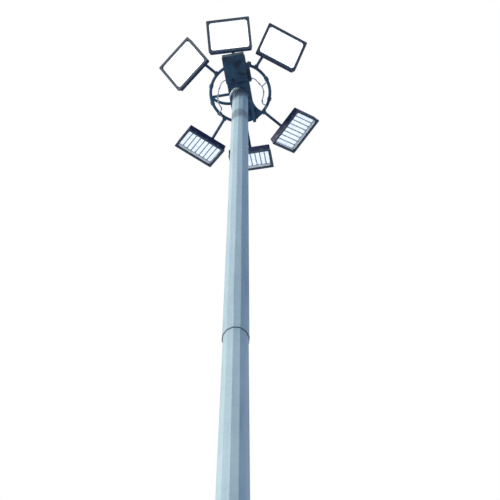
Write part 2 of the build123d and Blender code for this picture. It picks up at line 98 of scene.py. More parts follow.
def placeCamera():
    aim = radians(view["turn"] - view["compass"])
    rise, roll = radians(view["upward"]), radians(view["roll"])
    forward = Vector((sin(aim) * cos(rise), cos(aim) * cos(rise), sin(rise)))
    right = Vector((cos(aim), -sin(aim), 0))
    top = right.cross(forward)
    across = right * cos(roll) + top * sin(roll)
    above = top * cos(roll) - right * sin(roll)
    data = bpy.data.cameras.new("groundView")
    data.lens, data.sensor_width, data.clip_end = view["focalLength"], view["sensor"], view["farthest"]
    camera = addToScene("groundView", data)
    spot = outward(view["compass"]) * view["distance"] + up * view["eyeHeight"]
    camera.matrix_world = Matrix((
        (across.x, above.x, -forward.x, spot.x), (across.y, above.y, -forward.y, spot.y),
        (across.z, above.z, -forward.z, spot.z), (0, 0, 0, 1)))
    bpy.context.scene.camera = camera


light = {"backdrop": "ffffff", "zenith": "f2f7ff", "horizon": "8fb9ea", "skyStrength": 1.0,
         "riseFrom": 0.3, "riseTo": 0.8, "keyColour": "fff6e3", "keyStrength": 5.1, "keyCompass": -54,
         "keyHeight": 12, "keySoftness": 24, "floorSize": 60, "floorColour": "d3d6d8", "floorRoughness": 0.9}


def makeSky():
    # blue near the horizon and pale above it as light, with white paper behind the tower
    world = bpy.data.worlds.new("studioSky")
    bpy.context.scene.world = world
    world.use_nodes = True
    tree = world.node_tree
    tree.nodes.clear()
    where = addNode(tree, "ShaderNodeTexCoord")
    height = addNode(tree, "ShaderNodeSeparateXYZ", {"Vector": where.outputs["Generated"]})
    rise = addNode(tree, "ShaderNodeMapRange", {
        "Value": height.outputs["Z"], "From Min": light["riseFrom"], "From Max": light["riseTo"]},
        interpolation_type="SMOOTHSTEP")
    blend = addNode(tree, "ShaderNodeMix", {
        "Factor": rise, "A": linearColour(light["horizon"]),
        "B": linearColour(light["zenith"])}, data_type="RGBA")
    sky = addNode(tree, "ShaderNodeBackground", {"Color": blend, "Strength": light["skyStrength"]})
    paper = addNode(tree, "ShaderNodeBackground", {"Color": linearColour(light["backdrop"])})
    seen = addNode(tree, "ShaderNodeLightPath").outputs["Is Camera Ray"]
    both = addNode(tree, "ShaderNodeMixShader", {0: seen, 1: sky, 2: paper})
    addNode(tree, "ShaderNodeOutputWorld", {"Surface": both})


def makeKeyLight():
    # low, wide sun from the front left
    data = bpy.data.lights.new("softKey", "SUN")
    data.energy = light["keyStrength"]
    data.color = linearColour(light["keyColour"])[:3]
    data.angle = radians(light["keySoftness"])
    towards = outward(light["keyCompass"]) * cos(radians(light["keyHeight"]))
    towards.z = sin(radians(light["keyHeight"]))
    addToScene("softKey", data).matrix_world = towards.to_track_quat("Z", "Y").to_matrix().to_4x4()


def makeFloor():
    mesh = bpy.data.meshes.new("studioFloor")
    half = light["floorSize"] / 2
    mesh.from_pydata([(-half, -half, 0), (half, -half, 0), (half, half, 0), (-half, half, 0)], [], [(0, 1, 2, 3)])
    paint = bpy.data.materials.new("studioFloorPaint")
    paint.use_nodes = True
    fill(paint.node_tree, paint.node_tree.nodes["Principled BSDF"], {
        "Base Color": linearColour(light["floorColour"]), "Roughness": light["floorRoughness"]})
    mesh.materials.append(paint)
    addToScene("studioFloor", mesh)


bpy.context.scene.view_settings.view_transform = "Standard"
placeCamera()
makeSky()
makeKeyLight()
makeFloor()
print("camera, sky, key light and floor are in place")


noiseGrain, toneSpan = 0.55, (0.3, 0.7)      # roughness of the noise, and the part of a pattern that dulls a coat


def startFinish(name):
    material = bpy.data.materials.new(name)
    material.use_nodes = True
    tree = material.node_tree
    where = addNode(tree, "ShaderNodeTexCoord").outputs["Object"]
    return material, tree, tree.nodes["Principled BSDF"], where


def addFilm(tree, where, colour, film, mask=None):
    # lays a patchy film over the colour so far; returns the new colour and the film's pattern
    # size is one patch in metres, stretch draws it out downwards, from is where it sets in, cover how much it hides
    drawn = addNode(tree, "ShaderNodeMapping", {"Vector": where, "Scale": (1, 1, 1 / film.get("stretch", 1))})
    pattern = addNode(tree, "ShaderNodeTexNoise", {
        "Vector": drawn, "Scale": 1 / film["size"],
        "Detail": film.get("detail", 3.0), "Roughness": film.get("grain", noiseGrain)})
    least, most = film.get("cover", (0.0, 1.0))
    cover = addNode(tree, "ShaderNodeMapRange", {
        "Value": pattern, "From Min": film["from"][0], "From Max": film["from"][1],
        "To Min": least, "To Max": most})
    if mask:
        cover = addNode(tree, "ShaderNodeMath", {0: cover, 1: mask}, operation="MULTIPLY")
    laid = addNode(tree, "ShaderNodeMix", {
        "Factor": cover, "A": colour, "B": linearColour(film["tint"])}, data_type="RGBA")
    return laid, pattern


def endFinish(tree, shader, colour, tone, roughness, height, relief, metallic, sheen):
    # roughness follows a pattern between two values; relief is the depth and strength of the bumps
    (low, high), (shiny, matt) = toneSpan, roughness
    dull = addNode(tree, "ShaderNodeMapRange", {
        "Value": tone, "From Min": low, "From Max": high, "To Min": shiny, "To Max": matt})
    bump = addNode(tree, "ShaderNodeBump", {"Height": height, "Distance": relief[0], "Strength": relief[1]})
    fill(tree, shader, {"Base Color": colour, "Roughness": dull, "Metallic": metallic,
                        "Specular IOR Level": sheen, "Normal": bump})


# tints are sRGB hex, lengths metres; each band of painted shade under the head runs from one depth below the mast's
# top to another
galvanised = {
    "base": "8c9fa6", "metallic": 0.1, "sheen": 0.3, "roughness": (0.54, 0.74),
    "crystal": 0.030, "crystalShare": 0.16, "crystalTint": "a3b7bf",
    "patches": {"size": 0.45, "stretch": 3.5, "from": (0.35, 0.68), "tint": "7e909a"},
    "streaks": {"size": 0.03, "stretch": 160 / 3, "detail": 4, "from": (0.56, 0.78), "cover": (0, 0.42),
                "tint": "5c6c77"},
    "runs": {"size": 0.018, "stretch": 40, "detail": 2, "from": (0.62, 0.8), "cover": (0, 0.35), "tint": "a3b7bf"},
    # dark film for the painted shade that the head and ring cast on the shaft
    "headShade": {"size": 0.09, "stretch": 1.8, "detail": 4, "from": (0.2, 0.6), "tint": "2b3c4b"},
    "headShadeBands": ({"from": 0.64, "to": -0.10, "fade": 0.09, "cover": 0.95},
                   {"from": 1.60, "to": 1.29, "fade": 0.05, "cover": 0.62}), "thinnest": 0.55,
    "splash": {"size": 0.06, "stretch": 1.6, "from": (0.4, 0.7), "cover": (0, 0.5), "tint": "6b6358"},
    "splashLevels": (0.55, 0.05), "pitting": 0.004, "relief": (0.0006, 0.5)}


def makeGalvanised():
    # hot-dip zinc on steel: matt grey with faint crystals, runs down the shaft, pale bloom, and bands of painted shade
    # under the head
    material, tree, shader, where = startFinish("hotDipZinc")
    g = galvanised
    colour, patches = addFilm(tree, where, linearColour(g["base"]), g["patches"])
    # crystals are 10 mm in life and drawn coarser here
    cells = addNode(tree, "ShaderNodeTexVoronoi", {"Vector": where, "Scale": 1 / g["crystal"]})
    crystal = addNode(tree, "ShaderNodeSeparateColor", {"Color": cells.outputs["Color"]}).outputs["Red"]
    share = addNode(tree, "ShaderNodeMath", {0: crystal, 1: g["crystalShare"]}, operation="MULTIPLY")
    colour = addNode(tree, "ShaderNodeMix", {
        "Factor": share, "A": colour, "B": linearColour(g["crystalTint"])},
        data_type="RGBA")
    colour, streaks = addFilm(tree, where, colour, g["streaks"])
    colour, _ = addFilm(tree, where, colour, g["runs"])
    level = addNode(tree, "ShaderNodeSeparateXYZ", {"Vector": where}).outputs["Z"]
    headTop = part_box("mast_upper")[1].z
    # two dark bands below the mast's top: painted shade from the head and the ring above
    for band in g["headShadeBands"]:
        low, high, fade = headTop - band["from"], headTop - band["to"], band["fade"]
        above = addNode(tree, "ShaderNodeMapRange", {"Value": level, "From Min": low - fade, "From Max": low + fade})
        below = addNode(tree, "ShaderNodeMapRange", {"Value": level, "From Min": high + fade, "From Max": high - fade})
        inside = addNode(tree, "ShaderNodeMath", {0: above, 1: below}, operation="MULTIPLY")
        headShade = {**g["headShade"], "cover": (band["cover"] * g["thinnest"], band["cover"])}
        colour, _ = addFilm(tree, where, colour, headShade, inside)
    foot = addNode(tree, "ShaderNodeMapRange", {
        "Value": level, "From Min": g["splashLevels"][0], "From Max": g["splashLevels"][1]})
    colour, _ = addFilm(tree, where, colour, g["splash"], foot)
    fine = addNode(tree, "ShaderNodeTexNoise", {
        "Vector": where, "Scale": 1 / g["pitting"], "Detail": 2, "Roughness": noiseGrain})
    pits = addNode(tree, "ShaderNodeMath", {0: fine, 1: streaks}, operation="MULTIPLY")
    endFinish(tree, shader, colour, patches, g["roughness"], pits, g["relief"], g["metallic"], g["sheen"])
    return material


enamelFilms = {
    "chalk": {"detail": 5, "from": (0.4, 0.7)},
    "runs": {"size": 0.012, "stretch": 14, "from": (0.6, 0.8), "cover": (0, 0.4)},
    "soot": {"size": 0.13, "stretch": 1.6, "detail": 4, "from": (0.5, 0.62), "tint": "12202f"},
    "chips": {"size": 0.02, "stretch": 1.4, "detail": 6, "grain": 0.7, "from": (0.655, 0.69)},
    "polished": 0.08, "dulled": 0.14, "peel": 0.0025, "relief": (0.0004, 0.35)}


def makeEnamel(name, base, worn, bare, rough, patch, soot=0.0, metallic=0.0, sheen=0.25):
    # sprayed coat on steel: chalky patches and runs, soot, and chips down to what lies under it
    material, tree, shader, where = startFinish(name)
    films = enamelFilms
    colour, chalk = addFilm(tree, where, linearColour(base), {**films["chalk"], "size": patch, "tint": worn})
    colour, _ = addFilm(tree, where, colour, {**films["runs"], "tint": worn})
    if soot:
        colour, _ = addFilm(tree, where, colour, {**films["soot"], "cover": (0, soot)})
    colour, _ = addFilm(tree, where, colour, {**films["chips"], "tint": bare})
    peel = addNode(tree, "ShaderNodeTexNoise", {
        "Vector": where, "Scale": 1 / films["peel"], "Detail": 2, "Roughness": noiseGrain})
    roughness = (rough - films["polished"], rough + films["dulled"])
    endFinish(tree, shader, colour, chalk, roughness, peel, films["relief"], metallic, sheen)
    return material


def makePlain(name, base, film, sockets, glow=0.0):
    # one colour with a patchy tone over it; a glow lights it from within
    material, tree, shader, where = startFinish(name)
    colour, _ = addFilm(tree, where, linearColour(base), film)
    lit = {"Emission Color": colour, "Emission Strength": glow} if glow else {}
    fill(tree, shader, {"Base Color": colour, **lit, **sockets})
    return material


windowGlass = {"base": "f4f8fa", "dust": {"size": 0.08, "detail": 4, "from": (0.4, 0.7), "tint": "dfe6ea"},
               "dustSpan": (0.35, 0.75), "alpha": (0.03, 0.14), "roughness": (0.03, 0.2), "ior": 1.52}


def makeGlass():
    # toughened float glass: clear, with a film of dust
    material, tree, shader, where = startFinish("toughenedGlass")
    colour, dust = addFilm(tree, where, linearColour(windowGlass["base"]), windowGlass["dust"])
    low, high = windowGlass["dustSpan"]
    alpha, roughness = [addNode(tree, "ShaderNodeMapRange", {
        "Value": dust, "From Min": low, "From Max": high, "To Min": clean, "To Max": dusty})
        for clean, dusty in (windowGlass["alpha"], windowGlass["roughness"])]
    fill(tree, shader, {"Base Color": colour, "Alpha": alpha, "Roughness": roughness, "IOR": windowGlass["ior"]})
    return material


zinc = makeGalvanised()
# dark blue-grey two-pack enamel on the ring, rails and arms, and the same, greener where it has chalked, on the boxes
headEnamel = makeEnamel("headEnamel", "36536e", "42617c", "3c3e44", rough=0.68, patch=0.05, soot=0.5)
boxEnamel = makeEnamel("boxEnamel", "293f5a", "345361", "3a3c3e", rough=0.66, patch=0.09, soot=0.75)
# navy powder coat on die-cast aluminium, and grey powder coat rubbed at the corners
castEnamel = makeEnamel("powderCoatedCasting", "1d2344", "272f4c", "333a46", rough=0.62, patch=0.04)
bezelEnamel = makeEnamel("bezelPowderCoat", "3d444e", "4a525c", "5c646c", rough=0.6, patch=0.03)
# electro-galvanised steel tube, weathered and nearly new
tubeZinc = {"bare": "5d666c", "rough": 0.5, "patch": 0.03, "metallic": 0.1, "sheen": 0.4}
conduitZinc = makeEnamel("electroZincConduit", "8c9caa", "a0afbb", **tubeZinc)
bareZinc = makeEnamel("newZincConduit", "b4c4ce", "c6d3da", **{**tubeZinc, "bare": "7b868d"})
# zinc plating on rolled fasteners, gone a dull blue-grey
plating = makePlain("zincPlating", "59636c", {"size": 0.01, "from": (0.35, 0.7), "tint": "454e57"},
                    {"Metallic": 0.45, "Roughness": 0.55, "Specular IOR Level": 0.3})
# moulded EPDM rubber under fine dust
rubber = makePlain("mouldedRubber", "16191c", {"size": 0.006, "detail": 4, "from": (0.4, 0.75), "tint": "2c3033"},
                   {"Roughness": 0.7})
# clear acrylic lenses over lit diodes, bright on the three near floodlights; the weaker glow and cooler tint on the
# three rear ones is painted shade;
# this is set for each floodlight and is the same from every side
lensTone, acrylic = {"size": 0.05, "detail": 2, "from": (0.35, 0.65)}, {"Roughness": 0.25, "IOR": 1.49}
brightLens = makePlain("litLens", "ffffff", {**lensTone, "tint": "fdf9f2"}, acrylic, glow=0.78)
lensPaintedShade = makePlain("litLensPaintedShade", "ffffff", {**lensTone, "tint": "eef1f4"}, acrylic, glow=0.47)
# white enamelled trays that glow as painted light of the diodes on the near floodlights, the same trays grey on the
# rear ones as painted shade, and the pale frame round the grey ones
trayTone, enamelled = {"size": 0.03, "from": (0.35, 0.7)}, {"Roughness": 0.55}
trayPaintedGlow = makePlain("trayWithPaintedGlow", "f1f3f4", {**trayTone, "tint": "e6e9ec"}, enamelled, glow=0.42)
trayPaintedShade = makePlain("shadedTray", "8d949b", {**trayTone, "tint": "777f87"}, enamelled)
softFrame = makePlain("trayFrameEnamel", "dfe3e6", {**trayTone, "tint": "c6ccd1"}, enamelled)
glass = makeGlass()

farLamps = ("rear_right", "rear", "rear_left")
lampNames = ("front", "front_right", "rear_right", "rear", "rear_left", "front_left")
finishOf = {"galvanised_steel": zinc, "head_paint": headEnamel, "box_paint": boxEnamel, "conduit_steel": conduitZinc,
            # the light panels of the near floodlights glow: painted light of the diodes
            "lamp_casting": castEnamel, "bezel_paint": bezelEnamel, "lamp_glass": glass, "led_panel": trayPaintedGlow}
for entry in frame["record"]["subparts"]:
    # the rear floodlights' light panels take the grey tray: painted shade
    away = entry["node"] in [lamp + "_panel" for lamp in farLamps]
    mesh = nodes[entry["node"]].data
    mesh.materials.clear()
    mesh.materials.append(trayPaintedShade if away else finishOf[entry["material_slot"]])
print("finishes are on the CAD nodes")


nearAxis = 0.9       # a direction closer to an axis than this takes another one for reference


def place(origin, normal, along=None):
    # matrix whose Z is the normal and whose X is as near to along as it can be
    z = Vector(normal).normalized()
    x = Vector(along) if along is not None else Vector((1, 0, 0) if abs(z.x) < nearAxis else (0, 1, 0))
    x = (x - z * x.dot(z)).normalized()
    y = z.cross(x)
    return Matrix(((x.x, y.x, z.x, origin[0]), (x.y, y.y, z.y, origin[1]), (x.z, y.z, z.z, origin[2]), (0, 0, 0, 1)))


def addBand(bm, low, high):
    # side faces between two loops with as many points
    for i in range(len(low)):
        j = (i + 1) % len(low)
        bm.faces.new((low[i], low[j], high[j], high[i]))


def addTurned(bm, matrix, profile, sides=24):
    # closed solid of revolution from (radius, height) points; a last radius of 0 closes it in a point
    rings = []
    for radius, height in profile:
        count = sides if radius > 0 else 1
        rings.append([bm.verts.new(matrix @ Vector((
            radius * cos(tau * i / sides), radius * sin(tau * i / sides), height))) for i in range(count)])
    bm.faces.new(rings[0][::-1])
    if len(rings[-1]) > 1:
        bm.faces.new(rings[-1])
    for low, high in zip(rings, rings[1:]):
        if len(high) > 1:
            addBand(bm, low, high)
            continue
        for i in range(sides):
            bm.faces.new((low[i], low[(i + 1) % sides], high[0]))


def addSlab(bm, matrix, outline, thickness, edge=0.0):
    # flat closed plate with a small chamfer round its top
    middle = sum((Vector(p) for p in outline), Vector((0, 0))) / len(outline)
    levels = [(0.0, 0.0), (thickness - edge, 0.0)] + ([(thickness, edge)] if edge else [])
    rings = []
    for height, inset in levels:
        ring = []
        for point in outline:
            away = Vector(point) - middle
            spot = middle + away * (1 - inset / max(away.length, edge * 2, 1e-6))
            ring.append(bm.verts.new(matrix @ Vector((spot.x, spot.y, height))))
        rings.append(ring)
    bm.faces.new(rings[0][::-1])
    bm.faces.new(rings[-1])
    for low, high in zip(rings, rings[1:]):
        addBand(bm, low, high)


def addFrame(bm, sections, steps=5):
    # closed frame lofted round through (width, height, corner radius, level) outlines
    rings = [[bm.verts.new((x, y, z)) for x, y in roundedOutline(width, height, corner, steps)]
             for width, height, corner, z in sections]
    for low, high in zip(rings, rings[1:] + rings[:1]):
        addBand(bm, low, high)


def roundedOutline(width, height, corner, steps=4):
    out = []
    for cx, cy, start in ((1, 1, 0), (-1, 1, 90), (-1, -1, 180), (1, -1, 270)):
        for i in range(steps + 1):
            a = radians(start + 90 * i / steps)
            out.append((cx * (width / 2 - corner) + corner * cos(a), cy * (height / 2 - corner) + corner * sin(a)))
    return out


def addTube(bm, points, radius, sides=10, closed=False, normal=None):
    # round rod along a line of points; radius may be a list with one for each point
    count = len(points)
    rings = []
    for i, spot in enumerate(points):
        before = points[(i - 1) % count] if closed or i else spot
        after = points[(i + 1) % count] if closed or i < count - 1 else spot
        ahead = (after - before).normalized()
        normal = Vector(normal or ((0, 0, 1) if abs(ahead.z) < nearAxis else (1, 0, 0)))
        normal = (normal - ahead * normal.dot(ahead)).normalized()
        side = ahead.cross(normal)
        r = radius[i] if isinstance(radius, list) else radius
        rings.append([bm.verts.new(spot + normal * r * cos(tau * k / sides) + side * r * sin(tau * k / sides))
                      for k in range(sides)])
    for low, high in zip(rings, rings[1:] + (rings[:1] if closed else [])):
        addBand(bm, low, high)
    if not closed:
        bm.faces.new(rings[0][::-1])
        bm.faces.new(rings[-1])


def newMesh(name, bm, material=None):
    bmesh.ops.recalc_face_normals(bm, faces=bm.faces)
    mesh = bpy.data.meshes.new(name)
    bm.to_mesh(mesh)
    bm.free()
    if material:
        mesh.materials.append(material)
    return mesh


def showPiece(name, mesh, body, smooth=35):
    mesh.shade_smooth()
    piece = addToScene(name, mesh)
    mesh.set_sharp_from_angle(angle=radians(smooth))
    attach(piece, body)


def newTree(name, sockets):
    tree = bpy.data.node_groups.new(name, "GeometryNodeTree")
    tree.interface.new_socket("Geometry", in_out="INPUT", socket_type="NodeSocketGeometry")
    for label, kind, value in sockets:
        socket = tree.interface.new_socket(label, in_out="INPUT", socket_type="NodeSocket" + kind)
        if value is not None:
            socket.default_value = value
    tree.interface.new_socket("Material", in_out="INPUT", socket_type="NodeSocketMaterial")
    tree.interface.new_socket("Geometry", in_out="OUTPUT", socket_type="NodeSocketGeometry")
    return tree, addNode(tree, "NodeGroupInput").outputs


def endTree(tree, geometry, given):
    real = addNode(tree, "GeometryNodeRealizeInstances", {"Geometry": geometry})
    painted = addNode(tree, "GeometryNodeSetMaterial", {"Geometry": real, "Material": given["Material"]})
    addNode(tree, "NodeGroupOutput", {"Geometry": painted})
    return tree


# shares of the head's height and radius, and the random turn in radians
crown = {"rise": 0.16, "narrow": 0.86, "turn": 1.05}


def makeBoltTree():
    # a washer, a six-sided nut or head with a crown, and a stud end at each point
    tree, given = newTree("boltRow", [
        ("Across Radius", "Float", 0.01), ("Head Height", "Float", 0.008), ("Washer Radius", "Float", 0.013),
        ("Washer Thickness", "Float", 0.002), ("Stud Radius", "Float", 0.006), ("Stud Length", "Float", 0.012),
        ("Seed", "Int", 3)])
    across, height, thickness = given["Across Radius"], given["Head Height"], given["Washer Thickness"]
    washer, stud = given["Washer Radius"], given["Stud Radius"]
    top = addNode(tree, "ShaderNodeMath", {0: height, 1: thickness}, operation="ADD")
    rise = addNode(tree, "ShaderNodeMath", {0: height, 1: crown["rise"]}, operation="MULTIPLY")
    narrow = addNode(tree, "ShaderNodeMath", {0: across, 1: crown["narrow"]}, operation="MULTIPLY")
    parts = []
    for sides, foot, head, depth, level in (
            (20, washer, washer, thickness, 0.0), (6, across, across, height, thickness),
            (6, across, narrow, rise, top), (12, stud, stud, given["Stud Length"], top)):
        part = addNode(tree, "GeometryNodeMeshCone", {
            "Vertices": sides, "Radius Bottom": foot, "Radius Top": head, "Depth": depth})
        lift = addNode(tree, "ShaderNodeCombineXYZ", {"Z": level})
        parts.append(addNode(tree, "GeometryNodeTransform", {"Geometry": part, "Translation": lift}))
    bolt = addNode(tree, "GeometryNodeJoinGeometry", {"Geometry": parts})
    ahead = addNode(tree, "GeometryNodeInputNamedAttribute", {"Name": "ahead"}, data_type="FLOAT_VECTOR")
    turned = addNode(tree, "FunctionNodeAlignRotationToVector", {"Vector": ahead}, axis="Z")
    spin = addNode(tree, "FunctionNodeRandomValue", {
        2: 0.0, 3: crown["turn"], "Seed": given["Seed"]}, data_type="FLOAT").outputs[1]
    twist = addNode(tree, "ShaderNodeCombineXYZ", {"Z": spin})
    placed = addNode(tree, "GeometryNodeInstanceOnPoints", {
        "Points": given["Geometry"], "Instance": bolt, "Rotation": turned})
    spun = addNode(tree, "GeometryNodeRotateInstances", {"Instances": placed, "Rotation": twist, "Local Space": True})
    return endTree(tree, spun, given)


def makeRowTree():
    # one object again and again at a pitch along X, about the middle
    tree, given = newTree("evenRow", [("Count", "Int", 8), ("Pitch", "Float", 0.05), ("Unit", "Object", None)])
    gaps = addNode(tree, "ShaderNodeMath", {0: given["Count"], 1: 1.0}, operation="SUBTRACT")
    span = addNode(tree, "ShaderNodeMath", {0: gaps, 1: given["Pitch"]}, operation="MULTIPLY")
    back = addNode(tree, "ShaderNodeMath", {0: span, 1: -0.5}, operation="MULTIPLY")
    start = addNode(tree, "ShaderNodeCombineXYZ", {"X": back})
    step = addNode(tree, "ShaderNodeCombineXYZ", {"X": given["Pitch"]})
    line = addNode(tree, "GeometryNodeMeshLine", {
        "Count": given["Count"], "Start Location": start, "Offset": step},
        mode="OFFSET")
    unit = addNode(tree, "GeometryNodeObjectInfo", {"Object": given["Unit"]})
    placed = addNode(tree, "GeometryNodeInstanceOnPoints", {"Points": line, "Instance": unit.outputs["Geometry"]})
    return endTree(tree, placed, given)


def makeLensTree():
    # domed lenses in lines on top of one bar
    tree, given = newTree("lensBar", [
        ("Bar", "Object", None), ("Lens", "Object", None), ("Lens Columns", "Int", 2), ("Lens Rows", "Int", 12),
        ("Lens Across", "Float", 0.018), ("Lens Along", "Float", 0.3), ("Bar Top", "Float", 0.005)])
    grid = addNode(tree, "GeometryNodeMeshGrid", {
        "Size X": given["Lens Across"], "Size Y": given["Lens Along"],
        "Vertices X": given["Lens Columns"], "Vertices Y": given["Lens Rows"]})
    rise = addNode(tree, "ShaderNodeCombineXYZ", {"Z": given["Bar Top"]})
    spots = addNode(tree, "GeometryNodeTransform", {"Geometry": grid, "Translation": rise})
    lens = addNode(tree, "GeometryNodeObjectInfo", {"Object": given["Lens"]})
    domes = addNode(tree, "GeometryNodeInstanceOnPoints", {"Points": spots, "Instance": lens.outputs["Geometry"]})
    bar = addNode(tree, "GeometryNodeObjectInfo", {"Object": given["Bar"]})
    whole = addNode(tree, "GeometryNodeJoinGeometry", {"Geometry": [domes, bar.outputs["Geometry"]]})
    return endTree(tree, whole, given)


def grow(tree, name, values, points=((0, 0, 0),), aheads=()):
    # runs a tree on loose points and returns the plain mesh that it makes
    seedMesh = bpy.data.meshes.new(name + "Points")
    seedMesh.from_pydata([tuple(p) for p in points], [], [])
    if aheads:
        attribute = seedMesh.attributes.new("ahead", "FLOAT_VECTOR", "POINT")
        for i, direction in enumerate(aheads):
            attribute.data[i].vector = tuple(direction)
    holder = addToScene(name + "Holder", seedMesh)
    modifier = holder.modifiers.new("grow", "NODES")
    modifier.node_group = tree
    for item in tree.interface.items_tree:
        if item.in_out == "INPUT" and item.name in values:
            modifier[item.identifier] = values[item.name]
    bpy.context.view_layer.update()
    ready = holder.evaluated_get(bpy.context.evaluated_depsgraph_get())
    mesh = bpy.data.meshes.new_from_object(ready)
    mesh.name = name
    holder.modifiers.remove(modifier)
    bpy.data.objects.remove(holder)
    if "ahead" in mesh.attributes:
        mesh.attributes.remove(mesh.attributes["ahead"])
    return mesh


def growRow(name, count, pitch, unitMesh, material):
    unit = bpy.data.objects.new(name + "Unit", unitMesh)
    mesh = grow(rows, name, {"Count": count, "Pitch": pitch, "Unit": unit, "Material": material})
    bpy.data.objects.remove(unit)
    return mesh


bolts, rows, lensBars = makeBoltTree(), makeRowTree(), makeLensTree()
fastener = {"washerShare": 0.22, "studShare": 0.28, "seed": 7}


def growBolts(name, spots, aheads, across, height, washer, stud, material):
    # across is over the corners of the head, washer its diameter
    return grow(bolts, name, {
        "Across Radius": across / 2, "Head Height": height, "Washer Radius": washer / 2,
        "Washer Thickness": height * fastener["washerShare"], "Stud Radius": across * fastener["studShare"],
        "Stud Length": stud, "Seed": fastener["seed"], "Material": material}, spots, aheads)


def showBolts(name, spots, aheads, size, material=plating):
    if not isinstance(aheads, list):
        aheads = [aheads] * len(spots)
    showPiece(name, growBolts(name, spots, aheads, *size, material), "tower", 30)


print("node trees are built")

# a floodlight's dressing is made once in its own frame and then placed on all six:
# x runs along the pivots, y towards the inner edge, z towards the back, and the pivot line is the origin
lowestAim = 15     # degrees from straight down, where each tilt range begins
xAxis = (1, 0, 0)


def lampFrame(name):
    hinge = joints[name + "_lamp"]
    across = -Vector(hinge["axis"])
    aim = radians(lowestAim - hinge["range_deg"][0])
    return place(Vector(hinge["pos_m"]), across.cross(up) * -sin(aim) + up * cos(aim), across)


def lampSpots(node):
    # corners of a CAD node of the front floodlight in its own frame
    back = lampFrame("front").inverted()
    return [back @ v.co for v in nodes[node].data.vertices]


def localBox(node):
    spots = lampSpots(node)
    return [Vector([pick(s[i] for s in spots) for i in range(3)]) for pick in (min, max)]


bezelLow, bezelHigh = localBox("front_bezel")
glassLow, glassHigh = localBox("front_glass")
panelLow, panelHigh = localBox("front_panel")
housingSpots = lampSpots("front_housing")
backLevel = max(s.z for s in housingSpots if abs(s.x) > 0.2)      # plain back of the casting
bayLevel = max(s.z for s in housingSpots if abs(s.x) < 0.1)       # top of the driver bay
lugEnd = max(abs(s.x) for s in housingSpots if s.z > backLevel + 0.02)
backHalf = max(abs(s.y) for s in housingSpots if abs(s.z - backLevel) < 0.0005)
bayHalf = 0.060

strips = {"count": 8, "pitch": 0.0552, "width": 0.0405, "endGap": 0.013, "thickness": 0.0042, "corner": 0.013,
          "chamfer": 0.0008, "rows": 14, "columns": 2, "across": 0.019, "radius": 0.0078, "height": 0.0034,
          "shoulder": (0.8, 0.72), "crown": 0.38, "sunk": 0.0002}


def makeStrips(name):
    # bars of light side by side, each with two lines of domed lenses
    length = panelHigh.y - panelLow.y - 2 * strips["endGap"]
    bar, lens = bmesh.new(), bmesh.new()
    outline = roundedOutline(strips["width"], length, strips["corner"], 5)
    addSlab(bar, Matrix.Identity(4), outline, strips["thickness"], strips["chamfer"])
    r, h, (wide, tall) = strips["radius"], strips["height"], strips["shoulder"]
    addTurned(lens, Matrix.Identity(4), [(r, 0), (r * wide, h * tall), (r * strips["crown"], h), (0, h)], 8)
    makers = [bpy.data.objects.new("strip" + part, newMesh("strip" + part, bm))
              for part, bm in (("Bar", bar), ("Lens", lens))]
    unit = grow(lensBars, "stripUnit", {
        "Bar": makers[0], "Lens": makers[1], "Lens Columns": strips["columns"], "Lens Rows": strips["rows"],
        "Lens Across": strips["across"], "Lens Along": length - 2 * strips["corner"],
        "Bar Top": strips["thickness"] - strips["sunk"], "Material": brightLens})
    for maker in makers:
        bpy.data.objects.remove(maker)
    mesh = growRow(name, strips["count"], strips["pitch"], unit, brightLens)
    mesh.transform(place((0, 0, panelLow.z), -up, xAxis))      # lenses face out of the front
    return mesh


fins = {"thickness": 0.0032, "taper": 0.62, "height": 0.025, "root": 0.003, "shoulder": 0.55, "cutBack": 0.013,
        "cutLow": 0.004, "sidePitch": 0.0185, "sideFins": 5, "sideStart": 0.156, "midPitch": 0.0205, "midFins": 10,
        "inset": 0.013, "bayGap": 0.006}


def finMesh(length):
    # one tapered fin with cut-back ends, its foot sunk in the casting
    bm = bmesh.new()
    half, h = length / 2, fins["height"]
    outline = [(-half, -fins["root"]), (half, -fins["root"]), (half - fins["cutLow"], h * fins["shoulder"]),
               (half - fins["cutBack"], h), (-half + fins["cutBack"], h),
               (-half + fins["cutLow"], h * fins["shoulder"])]
    front, rear = [[bm.verts.new((wide if z < 0 else wide * fins["taper"], y, z)) for y, z in outline]
                   for wide in (fins["thickness"] / 2, -fins["thickness"] / 2)]
    bm.faces.new(front)
    bm.faces.new(rear[::-1])
    addBand(bm, rear, front)
    return newMesh("fin", bm)


def joinMeshes(name, meshes, material):
    whole = bmesh.new()
    for mesh in meshes:
        whole.from_mesh(mesh)
    mesh = bpy.data.meshes.new(name)
    whole.to_mesh(mesh)
    whole.free()
    mesh.materials.append(material)
    return mesh


def makeFins(name):
    # full-length fins outside the stirrup legs and short ones above and below the driver bay
    reach = backHalf - fins["inset"]
    short = reach - bayHalf - fins["bayGap"]
    sideMiddle = fins["sideStart"] + (fins["sideFins"] - 1) * fins["sidePitch"] / 2
    banks = []
    for count, pitch, length, x, y in (
            (fins["sideFins"], fins["sidePitch"], 2 * reach, sideMiddle, 0),
            (fins["sideFins"], fins["sidePitch"], 2 * reach, -sideMiddle, 0),
            (fins["midFins"], fins["midPitch"], short, 0, reach - short / 2),
            (fins["midFins"], fins["midPitch"], short, 0, short / 2 - reach)):
        banks.append(growRow("finBank", count, pitch, finMesh(length), castEnamel))
        banks[-1].transform(Matrix.Translation((x, y, backLevel)))
    return joinMeshes(name, banks, castEnamel)


trayEdge = {"lip": 0.0025, "wall": 0.0012, "gap": 0.0006, "corner": 0.007}


